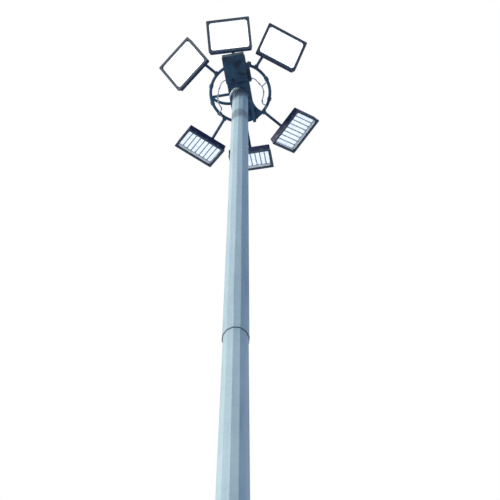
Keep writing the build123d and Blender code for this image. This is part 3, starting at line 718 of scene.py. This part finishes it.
def makeTrayFrame(name):
    # white pressed frame that closes the space between the glass and the light panel
    bm = bmesh.new()
    low, high = glassHigh.z + trayEdge["gap"], panelLow.z - trayEdge["gap"]
    addFrame(bm, [
        (2 * (panelHigh.x + grown), 2 * (panelHigh.y + grown), trayEdge["corner"] + grown, z) for grown, z in (
        (0.0, high), (trayEdge["lip"], low), (trayEdge["lip"] + trayEdge["wall"], low), (trayEdge["wall"], high))])
    # the frame's white finish glows as painted light of the diodes; the rear floodlights get the plain pale frame
    # instead
    return newMesh(name, bm, trayPaintedGlow)


seals = {"outerInset": 0.0052, "outerRadius": 0.0019, "outerCorner": 0.014, "glassInset": 0.0262,
         "glassRadius": 0.0022, "glassCorner": 0.007, "glassRise": 0.0092, "bandInset": 0.0255, "bandEdge": 0.0045,
         "bandCorner": 0.030, "bandOuterCorner": 0.006, "bandLevels": (0.0008, 0.0002)}


def makeSeal(name):
    # gaskets under the bezel and at the glass, and the dark band fired on the glass, with rounded inner corners
    bm = bmesh.new()
    for inset, z, radius, corner in (
            (seals["outerInset"], bezelHigh.z, seals["outerRadius"], seals["outerCorner"]),
            (seals["glassInset"], bezelLow.z + seals["glassRise"], seals["glassRadius"], seals["glassCorner"])):
        outline = roundedOutline(2 * (bezelHigh.x - inset), 2 * (bezelHigh.y - inset), corner, 5)
        addTube(bm, [Vector((x, y, z)) for x, y in outline], radius, 6, closed=True, normal=up)
    low, high = [glassLow.z - below for below in seals["bandLevels"]]
    outer = (seals["bandInset"], seals["bandOuterCorner"])
    inner = (seals["bandInset"] + seals["bandEdge"], seals["bandCorner"])
    addFrame(bm, [(2 * (bezelHigh.x - inset), 2 * (bezelHigh.y - inset), corner, z) for (inset, corner), z in (
        (outer, low), (inner, low), (inner, high), (outer, high))], 8)
    return newMesh(name, bm, rubber)


latch = {"spots": (-0.15, 0.0, 0.15), "width": 0.032, "depth": 0.0205, "stand": 0.0046, "loop": 0.0016,
         "sunk": 0.003, "inset": 0.0096, "rise": 0.002, "corner": 0.003, "edge": 0.0012, "loopShares": (0.32, 0.3),
         "loopRise": 0.0024, "rivetRise": 0.002}
rivet = [(0.0048, 0), (0.0048, 0.0014), (0.0034, 0.0022), (0, 0.0022)]


def makeLatches(name):
    # spring clips on the long sides that pull the bezel down
    bm = bmesh.new()
    for side in (-1, 1):
        for x in latch["spots"]:
            level = bezelHigh.z + latch["rise"] + latch["depth"] / 2
            base = place((x, side * (bezelHigh.y - latch["inset"]), level), (0, side, 0), xAxis)
            outline = roundedOutline(latch["width"], latch["depth"], latch["corner"], 3)
            addSlab(bm, base, outline, latch["stand"] + latch["sunk"], latch["edge"])
            wide, deep = latch["width"] * latch["loopShares"][0], latch["depth"] * latch["loopShares"][1]
            high = latch["stand"] + latch["loopRise"]
            loop = [base @ Vector((a * wide, b * deep, high)) for a, b in ((-1, 1), (-1, -1), (1, -1), (1, 1))]
            addTube(bm, loop, latch["loop"], 6, closed=True)
            addTurned(bm, base @ Matrix.Translation((0, 0, latch["stand"] + latch["rivetRise"])), rivet, 12)
    return newMesh(name, bm, plating)


bayCover = {"size": (0.168, 0.088), "corner": 0.012, "thickness": 0.0042, "edge": 0.0014, "sunk": 0.001,
            "ribs": (-0.048, -0.016, 0.016, 0.048), "ribSize": (0.058, 0.007, 0.0034), "ribRise": 0.0028,
            "ribLevel": 0.003, "ribEdge": 0.0012}


def makeBayCover(name):
    # stepped cover over the driver bay, with pressed stiffening ribs
    bm = bmesh.new()
    outline = roundedOutline(*bayCover["size"], bayCover["corner"], 5)
    base = place((0, 0, bayLevel - bayCover["sunk"]), up, xAxis)
    addSlab(bm, base, outline, bayCover["thickness"], bayCover["edge"])
    for x in bayCover["ribs"]:
        rib = place((x, 0, bayLevel + bayCover["ribLevel"]), up, (0, 1, 0))
        addSlab(bm, rib, roundedOutline(*bayCover["ribSize"]), bayCover["ribRise"], bayCover["ribEdge"])
    return newMesh(name, bm, castEnamel)


# (radius, height) outlines in metres of the small turned parts on a floodlight
glandHex = [(0.0115, 0), (0.0115, 0.006), (0.0098, 0.0065), (0.0098, 0.009)]
glandDome = [(0.0108, 0), (0.0108, 0.008), (0.009, 0.013), (0.006, 0.0155), (0.0055, 0.0155), (0.0045, 0.0125),
             (0, 0.0125)]
breather = [(0.0092, 0), (0.0092, 0.003), (0.0078, 0.0036), (0.0078, 0.0075), (0.006, 0.009), (0, 0.009)]
lugCap = [(0.0098, 0), (0.0098, 0.0012), (0.0086, 0.0034), (0.0056, 0.0052), (0, 0.0058)]
gland = {"x": 0.058, "breatherX": -0.06, "sunk": 0.0065, "tilt": (0, 1, 0.1), "domeRise": 0.009, "capSunk": 0.0006}


def makeGland(name):
    # cable gland with its blanking plug, breather, and a nylon cap on each pivot head
    bm = bmesh.new()
    side, middle = bayHalf - gland["sunk"], (backLevel + bayLevel) / 2
    spot = place((gland["x"], side, middle), gland["tilt"], xAxis)
    addTurned(bm, spot, glandHex, 6)
    addTurned(bm, spot @ Matrix.Translation((0, 0, gland["domeRise"])), glandDome, 20)
    addTurned(bm, place((gland["breatherX"], side, middle), gland["tilt"], xAxis), breather, 18)
    for end in (-1, 1):
        addTurned(bm, place((end * (lugEnd - gland["capSunk"]), 0, 0), (end, 0, 0), (0, 1, 0)), lugCap, 18)
    return newMesh(name, bm, rubber)


# screw sizes: across the corners, head height, washer diameter, stud length
lampScrews = {"inset": 0.0125, "shares": (-1, -0.34, 0.34, 1), "pull": 0.004, "sunk": 0.0002, "coverRise": 0.0028,
              "bezel": (0.0094, 0.0018, 0.0115, 0.0001), "coverX": (-0.074, 0, 0.074), "coverY": 0.0345,
              "cover": (0.0096, 0.0042, 0.0128, 0.0002)}


def makeLampScrews(name):
    # cap screws round the bezel and on the driver bay's cover
    s = lampScrews
    halfX, halfY, front = bezelHigh.x - s["inset"], bezelHigh.y - s["inset"], bezelLow.z + s["sunk"]
    bezel = [(x * (halfX - s["pull"]), side * halfY, front) for x in s["shares"] for side in (-1, 1)]
    bezel += [(side * halfX, 0, front) for side in (-1, 1)]
    cover = [(x, side * s["coverY"], bayLevel + s["coverRise"]) for x in s["coverX"] for side in (-1, 1)]
    banks = [growBolts(name, spots, [ahead] * len(spots), *size, plating)
             for spots, ahead, size in ((bezel, -up, s["bezel"]), (cover, up, s["cover"]))]
    return joinMeshes(name, banks, plating)


patterns = [(label, make(label), slot) for label, make, slot in (
    ("lensStrips", makeStrips, "led_panel"), ("coolingFins", makeFins, "lamp_casting"),
    ("trayFrame", makeTrayFrame, "led_panel"), ("glassSeal", makeSeal, "bezel_paint"),
    ("bezelLatches", makeLatches, "bezel_paint"), ("bayCover", makeBayCover, "lamp_casting"),
    ("bayGland", makeGland, "lamp_casting"), ("lampScrews", makeLampScrews, "bezel_paint"))]
# rear floodlights take the lens copy with the weaker glow of painted shade, and the plain frame in place of the
# glowing one
dimmed = {"lensStrips": lensPaintedShade, "trayFrame": softFrame}
for lamp in lampNames:
    for label, pattern, slot in patterns:
        mesh = pattern.copy()
        mesh.transform(lampFrame(lamp))
        if label in dimmed and lamp in farLamps:
            mesh.materials.clear()
            mesh.materials.append(dimmed[label])
        showPiece(lamp + "_" + label, mesh, lamp + "_lamp")
print("floodlights are dressed")

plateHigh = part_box("base_plate")[1]
lowerLow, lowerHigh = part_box("mast_lower")
upperLow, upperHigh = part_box("mast_upper")
ringLow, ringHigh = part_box("ring")
railLow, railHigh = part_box("rail_right")
boxLow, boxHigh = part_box("gear_box")
lidLow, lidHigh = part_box("gear_box_lid")
sideLow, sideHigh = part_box("side_box")
ringTube, ringLevel = (ringHigh.z - ringLow.z) / 2, (ringHigh.z + ringLow.z) / 2
ringRadius = ringHigh.x - ringTube
jointLevel = upperLow.z
shaftCorners = range(90, 450, 30)      # compass of the twelve corners
flat = cos(radians(15))                # radius to the middle of a facet, as a share of that to a corner


sameLevel = 0.0005


def endRadii(node, low, high):
    return [max(v.co.x for v in nodes[node].data.vertices if abs(v.co.z - end.z) < sameLevel) for end in (low, high)]


lowerEnds, upperEnds = endRadii("mast_lower", lowerLow, lowerHigh), endRadii("mast_upper", upperLow, upperHigh)


def shaftRadius(level):
    # radius to the corners of the shaft at a height
    shafts = ((lowerEnds, lowerLow, lowerHigh), (upperEnds, upperLow, upperHigh))
    (foot, top), low, high = shafts[level > jointLevel]
    return foot + (top - foot) * (level - low.z) / (high.z - low.z)


def onShaft(compass, level, out=0.0):
    # spot on a facet
    return outward(compass) * (shaftRadius(level) * flat + out) + up * level


def showPieceOf(name, bm, material, smooth=35):
    showPiece(name, newMesh(name, bm, material), "tower", smooth)


anchors = {"count": 12, "circle": 0.220, "nutAcross": 0.047, "nutHeight": 0.022, "washer": 0.058, "stud": 0.002,
           "lockStud": 0.036, "lift": 1.3, "lockHeight": 0.55, "lockWasher": 0.9}


def makeAnchors():
    # foundation studs with a washer, nut and locknut on each
    a = anchors
    spots = [outward(360 / a["count"] * i) * a["circle"] + up * plateHigh.z for i in range(a["count"])]
    size = (a["nutAcross"], a["nutHeight"], a["washer"], a["stud"])
    showBolts("anchorNuts", spots, up, size, material=zinc)
    high = [s + up * (a["nutHeight"] * a["lift"]) for s in spots]
    size = (a["nutAcross"], a["nutHeight"] * a["lockHeight"], a["nutAcross"] * a["lockWasher"], a["lockStud"])
    showBolts("anchorLocknuts", high, up, size, material=zinc)


welds = {"foot": 0.0075, "footOut": 0.001, "gusset": 0.0045, "pad": 0.0032, "ripple": 0.0006, "pitch": 0.012,
         "taper": 0.55, "gussetSpots": range(105, 465, 60), "gussetHalf": 0.0068, "gussetRun": (0.014, 0.098),
         "lift": 0.002, "gussetLift": 0.001, "gussetFoot": 0.02, "footDrop": 0.002, "topDrop": 0.004,
         "seamRadius": 0.0034, "seamSunk": 0.0006, "seams": ((0.03, -0.02, 195), (0.01, -0.01, 165)),
         "seamPoints": 61}


def weldLine(bm, start, end, radius, sides=8):
    # one run of weld with a ripple along it
    count = max(3, int((end - start).length / welds["pitch"]))
    points = [start + (end - start) * (i / count) for i in range(count + 1)]
    ripple = [radius + welds["ripple"] * (1 if i % 2 else -1) for i in range(count + 1)]
    ripple[0] = ripple[-1] = radius * welds["taper"]
    addTube(bm, points, ripple, sides)


def makeWelds():
    # fillets round the foot and both sides of its gussets, and the long seam where each shaft was closed
    bm = bmesh.new()
    w, level = welds, plateHigh.z + welds["lift"]
    for compass in shaftCorners:
        a, b = [outward(c) * (shaftRadius(level) + w["footOut"]) + up * level for c in (compass, compass + 30)]
        weldLine(bm, a, b, welds["foot"])
    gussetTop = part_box("base_gussets")[1].z
    for compass in welds["gussetSpots"]:
        for side in (-1, 1):
            shift = sideways(compass) * side * welds["gussetHalf"]
            near, far = [onShaft(compass, level, out) + shift - up * w["gussetLift"] for out in w["gussetRun"]]
            weldLine(bm, near, far, w["gusset"], 6)
            foot = onShaft(compass, plateHigh.z + w["gussetFoot"]) + shift - up * w["footDrop"]
            weldLine(bm, foot, onShaft(compass, gussetTop) + shift - up * w["topDrop"], w["gusset"], 6)
    showPieceOf("footWelds", bm, zinc, 50)
    seam = bmesh.new()
    shafts = ((plateHigh.z, jointLevel), (jointLevel, upperHigh.z))
    for (low, high), (start, end, compass) in zip(shafts, welds["seams"]):
        low, high, last = low + start, high + end, welds["seamPoints"] - 1
        points = [onShaft(compass, low + (high - low) * i / last, -w["seamSunk"]) for i in range(last + 1)]
        addTube(seam, points, welds["seamRadius"], 8, normal=outward(compass))
    showPieceOf("seamWelds", seam, zinc, 50)


doorTrim = {"locks": (0.62, 1.02), "lockCompass": 45, "lockShift": 0.004, "lockRadius": 0.011, "lockSunk": 0.0015,
            "hingeCompass": 15, "hingeShift": 0.026, "hingeStand": 0.0028, "hingeFromEnd": 0.09,
            "knucklePitch": 0.019, "gap": 0.0006, "earthSunk": 0.001, "earthRise": 0.0118, "earthLevel": 0.32,
            "earthCompass": 45, "earthBolt": (0.019, 0.008, 0.026, 0.004)}
keyhole = [(1.25, 0), (1.25, 0.0026), (1, 0.0042), (0.62, 0.0042), (0.55, 0.0008), (0, 0.0008)]     # radii are shares
key = [(0.3, 0), (0.3, 0.0034), (0.22, 0.004), (0, 0.004)]
knuckle = [(0.0046, 0), (0.0052, 0.0006), (0.0052, 0.0172), (0.0046, 0.0178)]
earthBoss = [(0.017, 0), (0.0165, 0.010), (0.0155, 0.012), (0.0075, 0.012), (0.007, 0.0095), (0, 0.0095)]


def makeDoorTrim():
    # two sunk key locks, two hinges and an earthing boss under the door
    t = doorTrim
    doorLow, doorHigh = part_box("door")
    bm = bmesh.new()
    for level in t["locks"]:
        normal = outward(t["lockCompass"])
        spot = onShaft(t["lockCompass"], level, -t["lockSunk"]) - sideways(t["lockCompass"]) * t["lockShift"]
        base, r = place(spot, normal, up), t["lockRadius"]
        addTurned(bm, base, [(r * share, height) for share, height in keyhole], 24)
        addTurned(bm, base @ Matrix.Translation((0, 0, t["gap"])), [(r * share, height) for share, height in key], 3)
    for level in (doorLow.z + t["hingeFromEnd"], doorHigh.z - t["hingeFromEnd"]):
        spot = onShaft(t["hingeCompass"], level, t["hingeStand"]) - sideways(t["hingeCompass"]) * t["hingeShift"]
        for part in (-1.5, -0.5, 0.5):
            addTurned(bm, place(spot + up * (part * t["knucklePitch"] + t["gap"]), up), knuckle, 14)
    showPieceOf("doorFittings", bm, plating, 30)
    normal, spot = outward(t["earthCompass"]), onShaft(t["earthCompass"], t["earthLevel"], -t["earthSunk"])
    boss = bmesh.new()
    addTurned(boss, place(spot, normal), earthBoss, 24)
    showPieceOf("earthBoss", boss, zinc, 30)
    showBolts("earthBolt", [spot + normal * t["earthRise"]], normal, t["earthBolt"])


slipJoint = {"shadowBeadRadius": 0.1012, "shadowBeadDrop": 0.0018, "seal": 0.0034, "rimOut": 0.0004, "rimRise": 0.0035,
             "rim": 0.0026, "shares": (0, 0.33, 0.67)}


def makeSlipJoint():
    # dark bead under the upper shaft's rim as a painted shadow line, and the rim's rolled edge
    j = slipJoint
    for name, radius, level, thick, material in (
            # the dark bead stands in for the shadow line under the rim: painted shadow
            ("jointSeal", j["shadowBeadRadius"], jointLevel - j["shadowBeadDrop"], j["seal"], plating),
            ("jointRim", upperEnds[0] + j["rimOut"], jointLevel + j["rimRise"], j["rim"], zinc)):
        points = []
        for compass in shaftCorners:
            a, b = outward(compass) * radius, outward(compass + 30) * radius
            points += [a + (b - a) * share + up * level for share in j["shares"]]
        bm = bmesh.new()
        addTube(bm, points, thick, 8, closed=True, normal=up)
        showPieceOf(name, bm, material, 50)


capScrews = {"compass": range(15, 375, 60), "circle": 0.078, "size": (0.016, 0.0055, 0.022, 0.0004)}


def makeCapScrews():
    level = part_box("mast_cap")[1].z
    spots = [outward(compass) * capScrews["circle"] + up * level for compass in capScrews["compass"]]
    showBolts("capScrews", spots, up, capScrews["size"])


lidTrim = {"endInset": 0.012, "cornerInset": 0.016, "sideShares": (0.34, 0.66),
           "screw": (0.013, 0.004, 0.018, 0.0003), "seal": 0.0024, "sealOut": 0.0035, "ribs": (-0.062, 0.0, 0.062),
           "ribWidth": 0.016, "ribRise": 0.0034, "ribEnds": 0.07, "ribCorner": 0.0075, "ribEdge": 0.0016,
           "sealCorner": 0.004, "sealRise": 0.0006, "sunk": 0.0004}
boxGlands = {"lid": (-0.045, 0.036), "rear": (-0.066, 0.0, 0.066), "rearLevel": 0.042, "sideFromEnd": 0.054,
             "domeRise": 0.0076}
boxGlandNut = [(0.0175, -0.0006), (0.0175, 0.007), (0.0165, 0.008)]
boxGlandDome = [(0.0145, 0), (0.0145, 0.004), (0.0158, 0.0045), (0.0158, 0.013), (0.013, 0.019), (0.009, 0.0225),
                (0.0078, 0.0225), (0.0066, 0.019), (0, 0.019)]
sideCover = {"inset": 0.016, "corner": 0.008, "thickness": 0.0032, "edge": 0.0014, "screwInset": 0.036,
             "sunk": 0.0004, "screwRise": 0.0028, "screw": (0.012, 0.004, 0.016, 0.0003)}


def makeBoxTrim():
    # screws, seal, stiffeners and glands of the control gear box and of the junction box beside it
    t = lidTrim
    middle, length = (lidLow.y + lidHigh.y) / 2, lidHigh.y - lidLow.y
    spots = [(x * (lidHigh.x - t["cornerInset"]), y, lidLow.z) for x in (-1, 0, 1)
             for y in (lidLow.y + t["endInset"], lidHigh.y - t["endInset"])]
    spots += [(x * (lidHigh.x - t["endInset"]), lidLow.y + length * share, lidLow.z)
              for share in t["sideShares"] for x in (-1, 1)]
    showBolts("lidScrews", spots, -up, t["screw"])
    outline = roundedOutline(boxHigh.x * 2 + t["sealOut"], boxHigh.y - boxLow.y + t["sealOut"], t["sealCorner"], 3)
    centre = Vector((0, (boxLow.y + boxHigh.y) / 2, lidHigh.z + t["sealRise"]))
    seal, ribs, glands, cover = [bmesh.new() for _ in range(4)]
    addTube(seal, [Vector((x, y, 0)) + centre for x, y in outline], t["seal"], 6, closed=True, normal=up)
    showPieceOf("lidSeal", seal, rubber, 50)
    for x in t["ribs"]:
        base = place((x, middle, lidLow.z + t["sunk"]), -up, (0, 1, 0))
        outline = roundedOutline(length - t["ribEnds"], t["ribWidth"], t["ribCorner"])
        addSlab(ribs, base, outline, t["ribRise"], t["ribEdge"])
    showPieceOf("lidStiffeners", ribs, boxEnamel, 30)
    g = boxGlands
    bases = [place((g["lid"][0], lidHigh.y - g["lid"][1], lidLow.z), -up)]
    bases += [place((x, boxHigh.y, boxLow.z + g["rearLevel"]), (0, 1, 0)) for x in g["rear"]]
    bases.append(place(((sideLow.x + sideHigh.x) / 2, sideHigh.y - g["sideFromEnd"], sideLow.z), -up))
    for base in bases:
        addTurned(glands, base, boxGlandNut, 6)
        addTurned(glands, base @ Matrix.Translation((0, 0, g["domeRise"])), boxGlandDome, 20)
    showPieceOf("cableGlands", glands, rubber, 30)
    c = sideCover
    y, z = (sideLow.y + sideHigh.y) / 2, (sideLow.z + sideHigh.z) / 2
    long, tall = sideHigh.y - sideLow.y, sideHigh.z - sideLow.z
    outline = roundedOutline(long - c["inset"], tall - c["inset"], c["corner"])
    addSlab(cover, place((sideHigh.x - c["sunk"], y, z), (1, 0, 0), (0, 1, 0)), outline, c["thickness"], c["edge"])
    showPieceOf("sideBoxCover", cover, boxEnamel, 30)
    spots = [(sideHigh.x + c["screwRise"], y + a * (long - c["screwInset"]) / 2, z + b * (tall - c["screwInset"]) / 2)
             for a in (-1, 1) for b in (-1, 1)]
    showBolts("sideBoxScrews", spots, Vector((1, 0, 0)), c["screw"])


uBolt = {"rod": 0.0042, "clear": 0.0045, "inset": 0.004, "flange": 0.006, "tail": 0.012,
         "nut": (0.0145, 0.006, 0.019, 0.004)}


def makeUbolts():
    # threaded U-bolts that hold the ring down on the rails
    bm, nuts = bmesh.new(), []
    reach = ringTube + uBolt["clear"]
    flange = railHigh.z - uBolt["flange"] - ringLevel
    x = (abs(railLow.x) + abs(railHigh.x)) / 2 + uBolt["inset"]
    y = sqrt(ringRadius ** 2 - x ** 2)
    for centre in [Vector((a * x, b * y, ringLevel)) for a in (-1, 1) for b in (-1, 1)]:
        radial = Vector((centre.x, centre.y, 0)).normalized()
        tails = [centre + radial * reach * s + up * (flange - uBolt["tail"]) for s in (1, -1)]
        bend = [centre + (radial * cos(pi * i / 10) + up * sin(pi * i / 10)) * reach for i in range(11)]
        addTube(bm, [tails[0], *bend, tails[1]], uBolt["rod"], 8, normal=Vector((-radial.y, radial.x, 0)))
        nuts += [centre + radial * reach * s + up * flange for s in (-1, 1)]
    showPieceOf("ringUbolts", bm, plating, 40)
    showBolts("uboltNuts", nuts, -up, uBolt["nut"])


def onRing(compass, out=0.0, rise=0.0):
    return outward(compass) * (ringRadius + out) + up * (ringLevel + rise)


sleeves = {"compass": (71, -67, -101, -126, 112, 158, -158), "length": 0.046, "wall": 0.0052, "endShare": 0.86,
           "sides": 20, "boltShift": 0.011, "sunk": 0.001, "shares": (-1, -0.86, -0.4, 0.4, 0.86, 1)}
sleeveBolt = [(0.0058, 0), (0.0058, 0.0042), (0.0048, 0.0054), (0, 0.0054)]
clampBlock = {"compass": 26, "out": 0.008, "radial": 0.064, "along": 0.046, "height": 0.048, "corner": 0.006,
              "edge": 0.003, "boltShift": 0.024, "bolt": (0.015, 0.007, 0.02, 0.006)}


def makeRingFittings():
    # sleeves over the ring's joints and one bolted clamp block near the front right arm
    bm = bmesh.new()
    shell = ringTube + sleeves["wall"]
    half = sleeves["length"] / 2 / ringRadius * 180 / pi
    for compass in sleeves["compass"]:
        points = [onRing(compass + half * share) for share in sleeves["shares"]]
        rounded = shell * sleeves["endShare"]
        addTube(bm, points, [rounded, shell, shell, shell, shell, rounded], sleeves["sides"])
        axis, radial = (points[3] - points[2]).normalized(), outward(compass)
        for s in (-1, 1):
            spot = onRing(compass) + axis * s * sleeves["boltShift"] + radial * (shell - sleeves["sunk"])
            addTurned(bm, place(spot, radial, axis), sleeveBolt, 6)
    c = clampBlock
    base = place(onRing(c["compass"], c["out"], -c["height"] / 2), up, outward(c["compass"]))
    addSlab(bm, base, roundedOutline(c["radial"], c["along"], c["corner"]), c["height"], c["edge"])
    showPieceOf("ringSleeves", bm, headEnamel, 35)
    spots = [onRing(c["compass"], c["out"] + s * c["boltShift"], -c["height"] / 2) for s in (-1, 1)]
    showBolts("clampBlockBolts", spots, -up, c["bolt"])


# places of the bolts through the rails' webs, and on top of the rails for the strut, its brace and the rear plate
frameBolts = {"webY": 0.0974, "webZ": 0.022, "web": 0.006, "strut": ((-0.118, -0.009), (-0.142, -0.009)),
              "brace": ((-0.118, 0.09), (-0.118, 0.118)), "plateX": 0.1, "plateY": (0.132, 0.19, 0.25, 0.308),
              "top": 0.008, "size": (0.017, 0.0075, 0.023, 0.005)}


def makeFrameBolts():
    f = frameBolts
    middle, web, top = (railLow.z + railHigh.z) / 2, railLow.x + f["web"], railHigh.z + f["top"]
    spots = [(x * web, y * f["webY"], middle + z * f["webZ"]) for x in (-1, 1) for y in (-1, 1) for z in (-1, 1)]
    aheads = [(1 if x > 0 else -1, 0, 0) for x, _, _ in spots]
    high = [(x, y, top) for x, y in f["strut"] + f["brace"]]
    high += [(x * f["plateX"], y, top) for x in (-1, 1) for y in f["plateY"]]
    showBolts("frameBolts", spots + high, aheads + [up] * len(high), f["size"])


# compass of each arm; the pad hangs under its outer end, and the saddle holds its root to the ring
arms = {"reach": 0.6985, "front": 0, "front_right": 40.5, "rear_right": 139.5, "rear": 180, "rear_left": 220.5,
        "front_left": -40.5, "padDrop": 0.013, "padBoltShift": 0.0205, "padBolt": (0.0165, 0.007, 0.0185, 0.005),
        "saddleOut": 0.026, "saddleBoltShift": 0.0185, "saddleBoltRise": 0.0175,
        "saddleBolt": (0.0105, 0.005, 0.013, 0.002), "plugOut": 0.0195, "rootOut": 0.0255, "padWeldHalf": 0.022,
        "padWeldShift": 0.0125, "padWeldLift": 0.001}
armPlug = [(0.0139, -0.012), (0.0139, 0), (0.0172, 0.0002), (0.0172, 0.0032), (0.013, 0.0058), (0, 0.0066)]
rootWeld = [(0.0212, 0), (0.0198, 0.0026), (0.0172, 0.0052), (0.0164, 0.0052)]


def makeArmFittings():
    # bolts, end plugs and welds of the six arms
    a = arms
    padSpots, saddleSpots, saddleAheads = [], [], []
    plugs, beads = bmesh.new(), bmesh.new()
    for lamp in lampNames:
        arm, side = outward(a[lamp]), sideways(a[lamp])
        pad = arm * a["reach"] + up * (ringLevel - a["padDrop"])
        padSpots += [pad + side * s * a["padBoltShift"] for s in (-1, 1)]
        saddleSpots += [arm * (ringRadius + a["saddleOut"]) + side * s * a["saddleBoltShift"]
                        + up * (ringLevel + z * a["saddleBoltRise"]) for s in (-1, 1) for z in (-1, 1)]
        saddleAheads += [arm] * 4
        addTurned(plugs, place(arm * (a["reach"] + a["plugOut"]) + up * ringLevel, arm), armPlug, 20)
        addTurned(beads, place(arm * (ringRadius + a["rootOut"]) + up * ringLevel, arm), rootWeld, 24)
        for s in (-1, 1):
            near, far = [pad + arm * end * a["padWeldHalf"] + side * s * a["padWeldShift"] + up * a["padWeldLift"]
                         for end in (-1, 1)]
            weldLine(beads, near, far, welds["pad"], 6)
    showBolts("padBolts", padSpots, up, a["padBolt"])
    showBolts("saddleBolts", saddleSpots, saddleAheads, a["saddleBolt"])
    showPieceOf("armEndPlugs", plugs, rubber, 35)
    showPieceOf("armWelds", beads, headEnamel, 45)


# spots near which a coupling sits on one of the two conduits
couplings = {"near": ((0.236, -0.10, 19.517), (0.281, 0.01, 19.527), (0.262, 0.125, 19.572), (-0.222, -0.13,
                 19.516), (-0.255, -0.05, 19.527), (-0.264, 0.04, 19.555), (-0.256, 0.13, 19.585)),
             "radius": 0.0092, "length": 0.026, "endShare": 0.86, "edge": 0.0015, "section": 0.0135, "reach": 0.05}


def makeCouplings():
    bm = bmesh.new()
    route = [v.co.copy() for v in nodes["conduits"].data.vertices]
    r, h, edge = couplings["radius"], couplings["length"] / 2, couplings["edge"]
    profile = [(r * couplings["endShare"], -h), (r, edge - h), (r, h - edge), (r * couplings["endShare"], h)]
    for near in couplings["near"]:
        nearest = min(route, key=lambda v: (v - Vector(near)).length)
        section = [v for v in route if (v - nearest).length < couplings["section"]]
        middle = sum(section, Vector()) / len(section)
        far = max((v for v in route if (v - middle).length < couplings["reach"]), key=lambda v: (v - middle).length)
        addTurned(bm, place(middle, far - middle), profile, 14)
    showPieceOf("conduitCouplings", bm, conduitZinc, 35)


# bare conduit from the shaft's front round to the left rail, just under the frame
elbow = {"route": ((-0.012, -0.084, 19.528), (-0.024, -0.097, 19.533), (-0.050, -0.088, 19.5355), (-0.078, -0.066,
             19.5355), (-0.101, -0.040, 19.5355), (-0.117, -0.014, 19.537), (-0.121, 0.002, 19.546), (-0.121,
             0.004, 19.557)),
         "radius": 0.0115, "bossRadius": 0.021, "bossRise": 0.009, "bossCompass": -8, "bossSunk": 0.004,
         "bossShoulder": (0.8, 0.7)}


def makeElbow():
    data = bpy.data.curves.new("mastElbow", "CURVE")
    data.dimensions, data.bevel_depth, data.bevel_resolution = "3D", elbow["radius"], 3
    data.use_fill_caps, data.resolution_u = True, 8
    spline = data.splines.new("NURBS")
    spline.points.add(len(elbow["route"]) - 1)
    for point, spot in zip(spline.points, elbow["route"]):
        point.co = (*spot, 1)
    spline.order_u, spline.use_endpoint_u = 3, True
    maker = addToScene("mastElbow", data)
    bpy.context.view_layer.update()
    tube = bpy.data.meshes.new_from_object(maker.evaluated_get(bpy.context.evaluated_depsgraph_get()))
    bpy.data.objects.remove(maker)
    bm = bmesh.new()
    outlet, normal = Vector(elbow["route"][0]), outward(elbow["bossCompass"])
    inward = outlet.dot(normal) - shaftRadius(outlet.z) * flat + elbow["bossSunk"]
    r, rise, (wide, tall) = elbow["bossRadius"], elbow["bossRise"], elbow["bossShoulder"]
    profile = [(r, 0), (r, rise * tall), (r * wide, rise), (0, rise)]
    addTurned(bm, place(outlet - normal * inward, normal), profile, 20)
    mesh = joinMeshes("mastElbow", [tube, newMesh("elbowBoss", bm)], bareZinc)
    showPiece("mastElbow", mesh, "tower", 40)


baySheet = {"thickness": 0.003, "overRail": 0.005, "lap": 0.012, "gap": 0.0008, "ribAt": (0.3, 0.7),
            "ribWidth": 0.012, "ribRise": 0.0032, "ribInset": 0.015, "stripClear": 0.0016, "stripHalf": 0.0925,
            "stripLap": 0.004, "stripThickness": 0.0028, "stripDrop": 0.0008, "sunk": 0.001, "corner": 0.003,
            "edge": 0.0006, "ribSunk": 0.0014, "ribCorner": 0.0055, "ribEdge": 0.0014}


def makeFrameCovers():
    # sheet that closes the bay between the gear box and the shaft, and filler strips that follow the shaft's corners
    bm = bmesh.new()
    half = railLow.x + baySheet["overRail"]
    front, rear = boxHigh.y - baySheet["lap"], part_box("clamp_front")[0].y - baySheet["gap"]
    sheet = place((0, (front + rear) / 2, railLow.z + baySheet["sunk"]), -up, xAxis)
    outline = roundedOutline(2 * half, rear - front, baySheet["corner"], 3)
    addSlab(bm, sheet, outline, baySheet["thickness"], baySheet["edge"])
    for share in baySheet["ribAt"]:
        level = railLow.z - baySheet["thickness"] + baySheet["ribSunk"]
        rib = place((0, front + (rear - front) * share, level), -up, xAxis)
        long = 2 * (half - baySheet["overRail"] - baySheet["ribInset"])
        outline = roundedOutline(long, baySheet["ribWidth"], baySheet["ribCorner"])
        addSlab(bm, rib, outline, baySheet["ribRise"], baySheet["ribEdge"])
    corner, edge = shaftRadius(railLow.z) + baySheet["stripClear"], railLow.x + baySheet["stripLap"]
    for side in (-1, 1):
        outline = [(spot.x, spot.y) for spot in (outward(side * compass) * corner for compass in range(0, 181, 30))]
        outline += [(side * edge, baySheet["stripHalf"]), (side * edge, -baySheet["stripHalf"])]
        addSlab(bm, place((0, 0, railLow.z - baySheet["stripDrop"]), -up, xAxis),
                [(x, -y) for x, y in outline[::-side]], baySheet["stripThickness"])
    showPieceOf("frameCovers", bm, headEnamel, 30)


for make in (makeAnchors, makeWelds, makeFrameCovers, makeDoorTrim, makeSlipJoint, makeCapScrews, makeBoxTrim,
             makeUbolts, makeRingFittings, makeFrameBolts, makeArmFittings, makeCouplings, makeElbow):
    make()
print("tower is dressed")
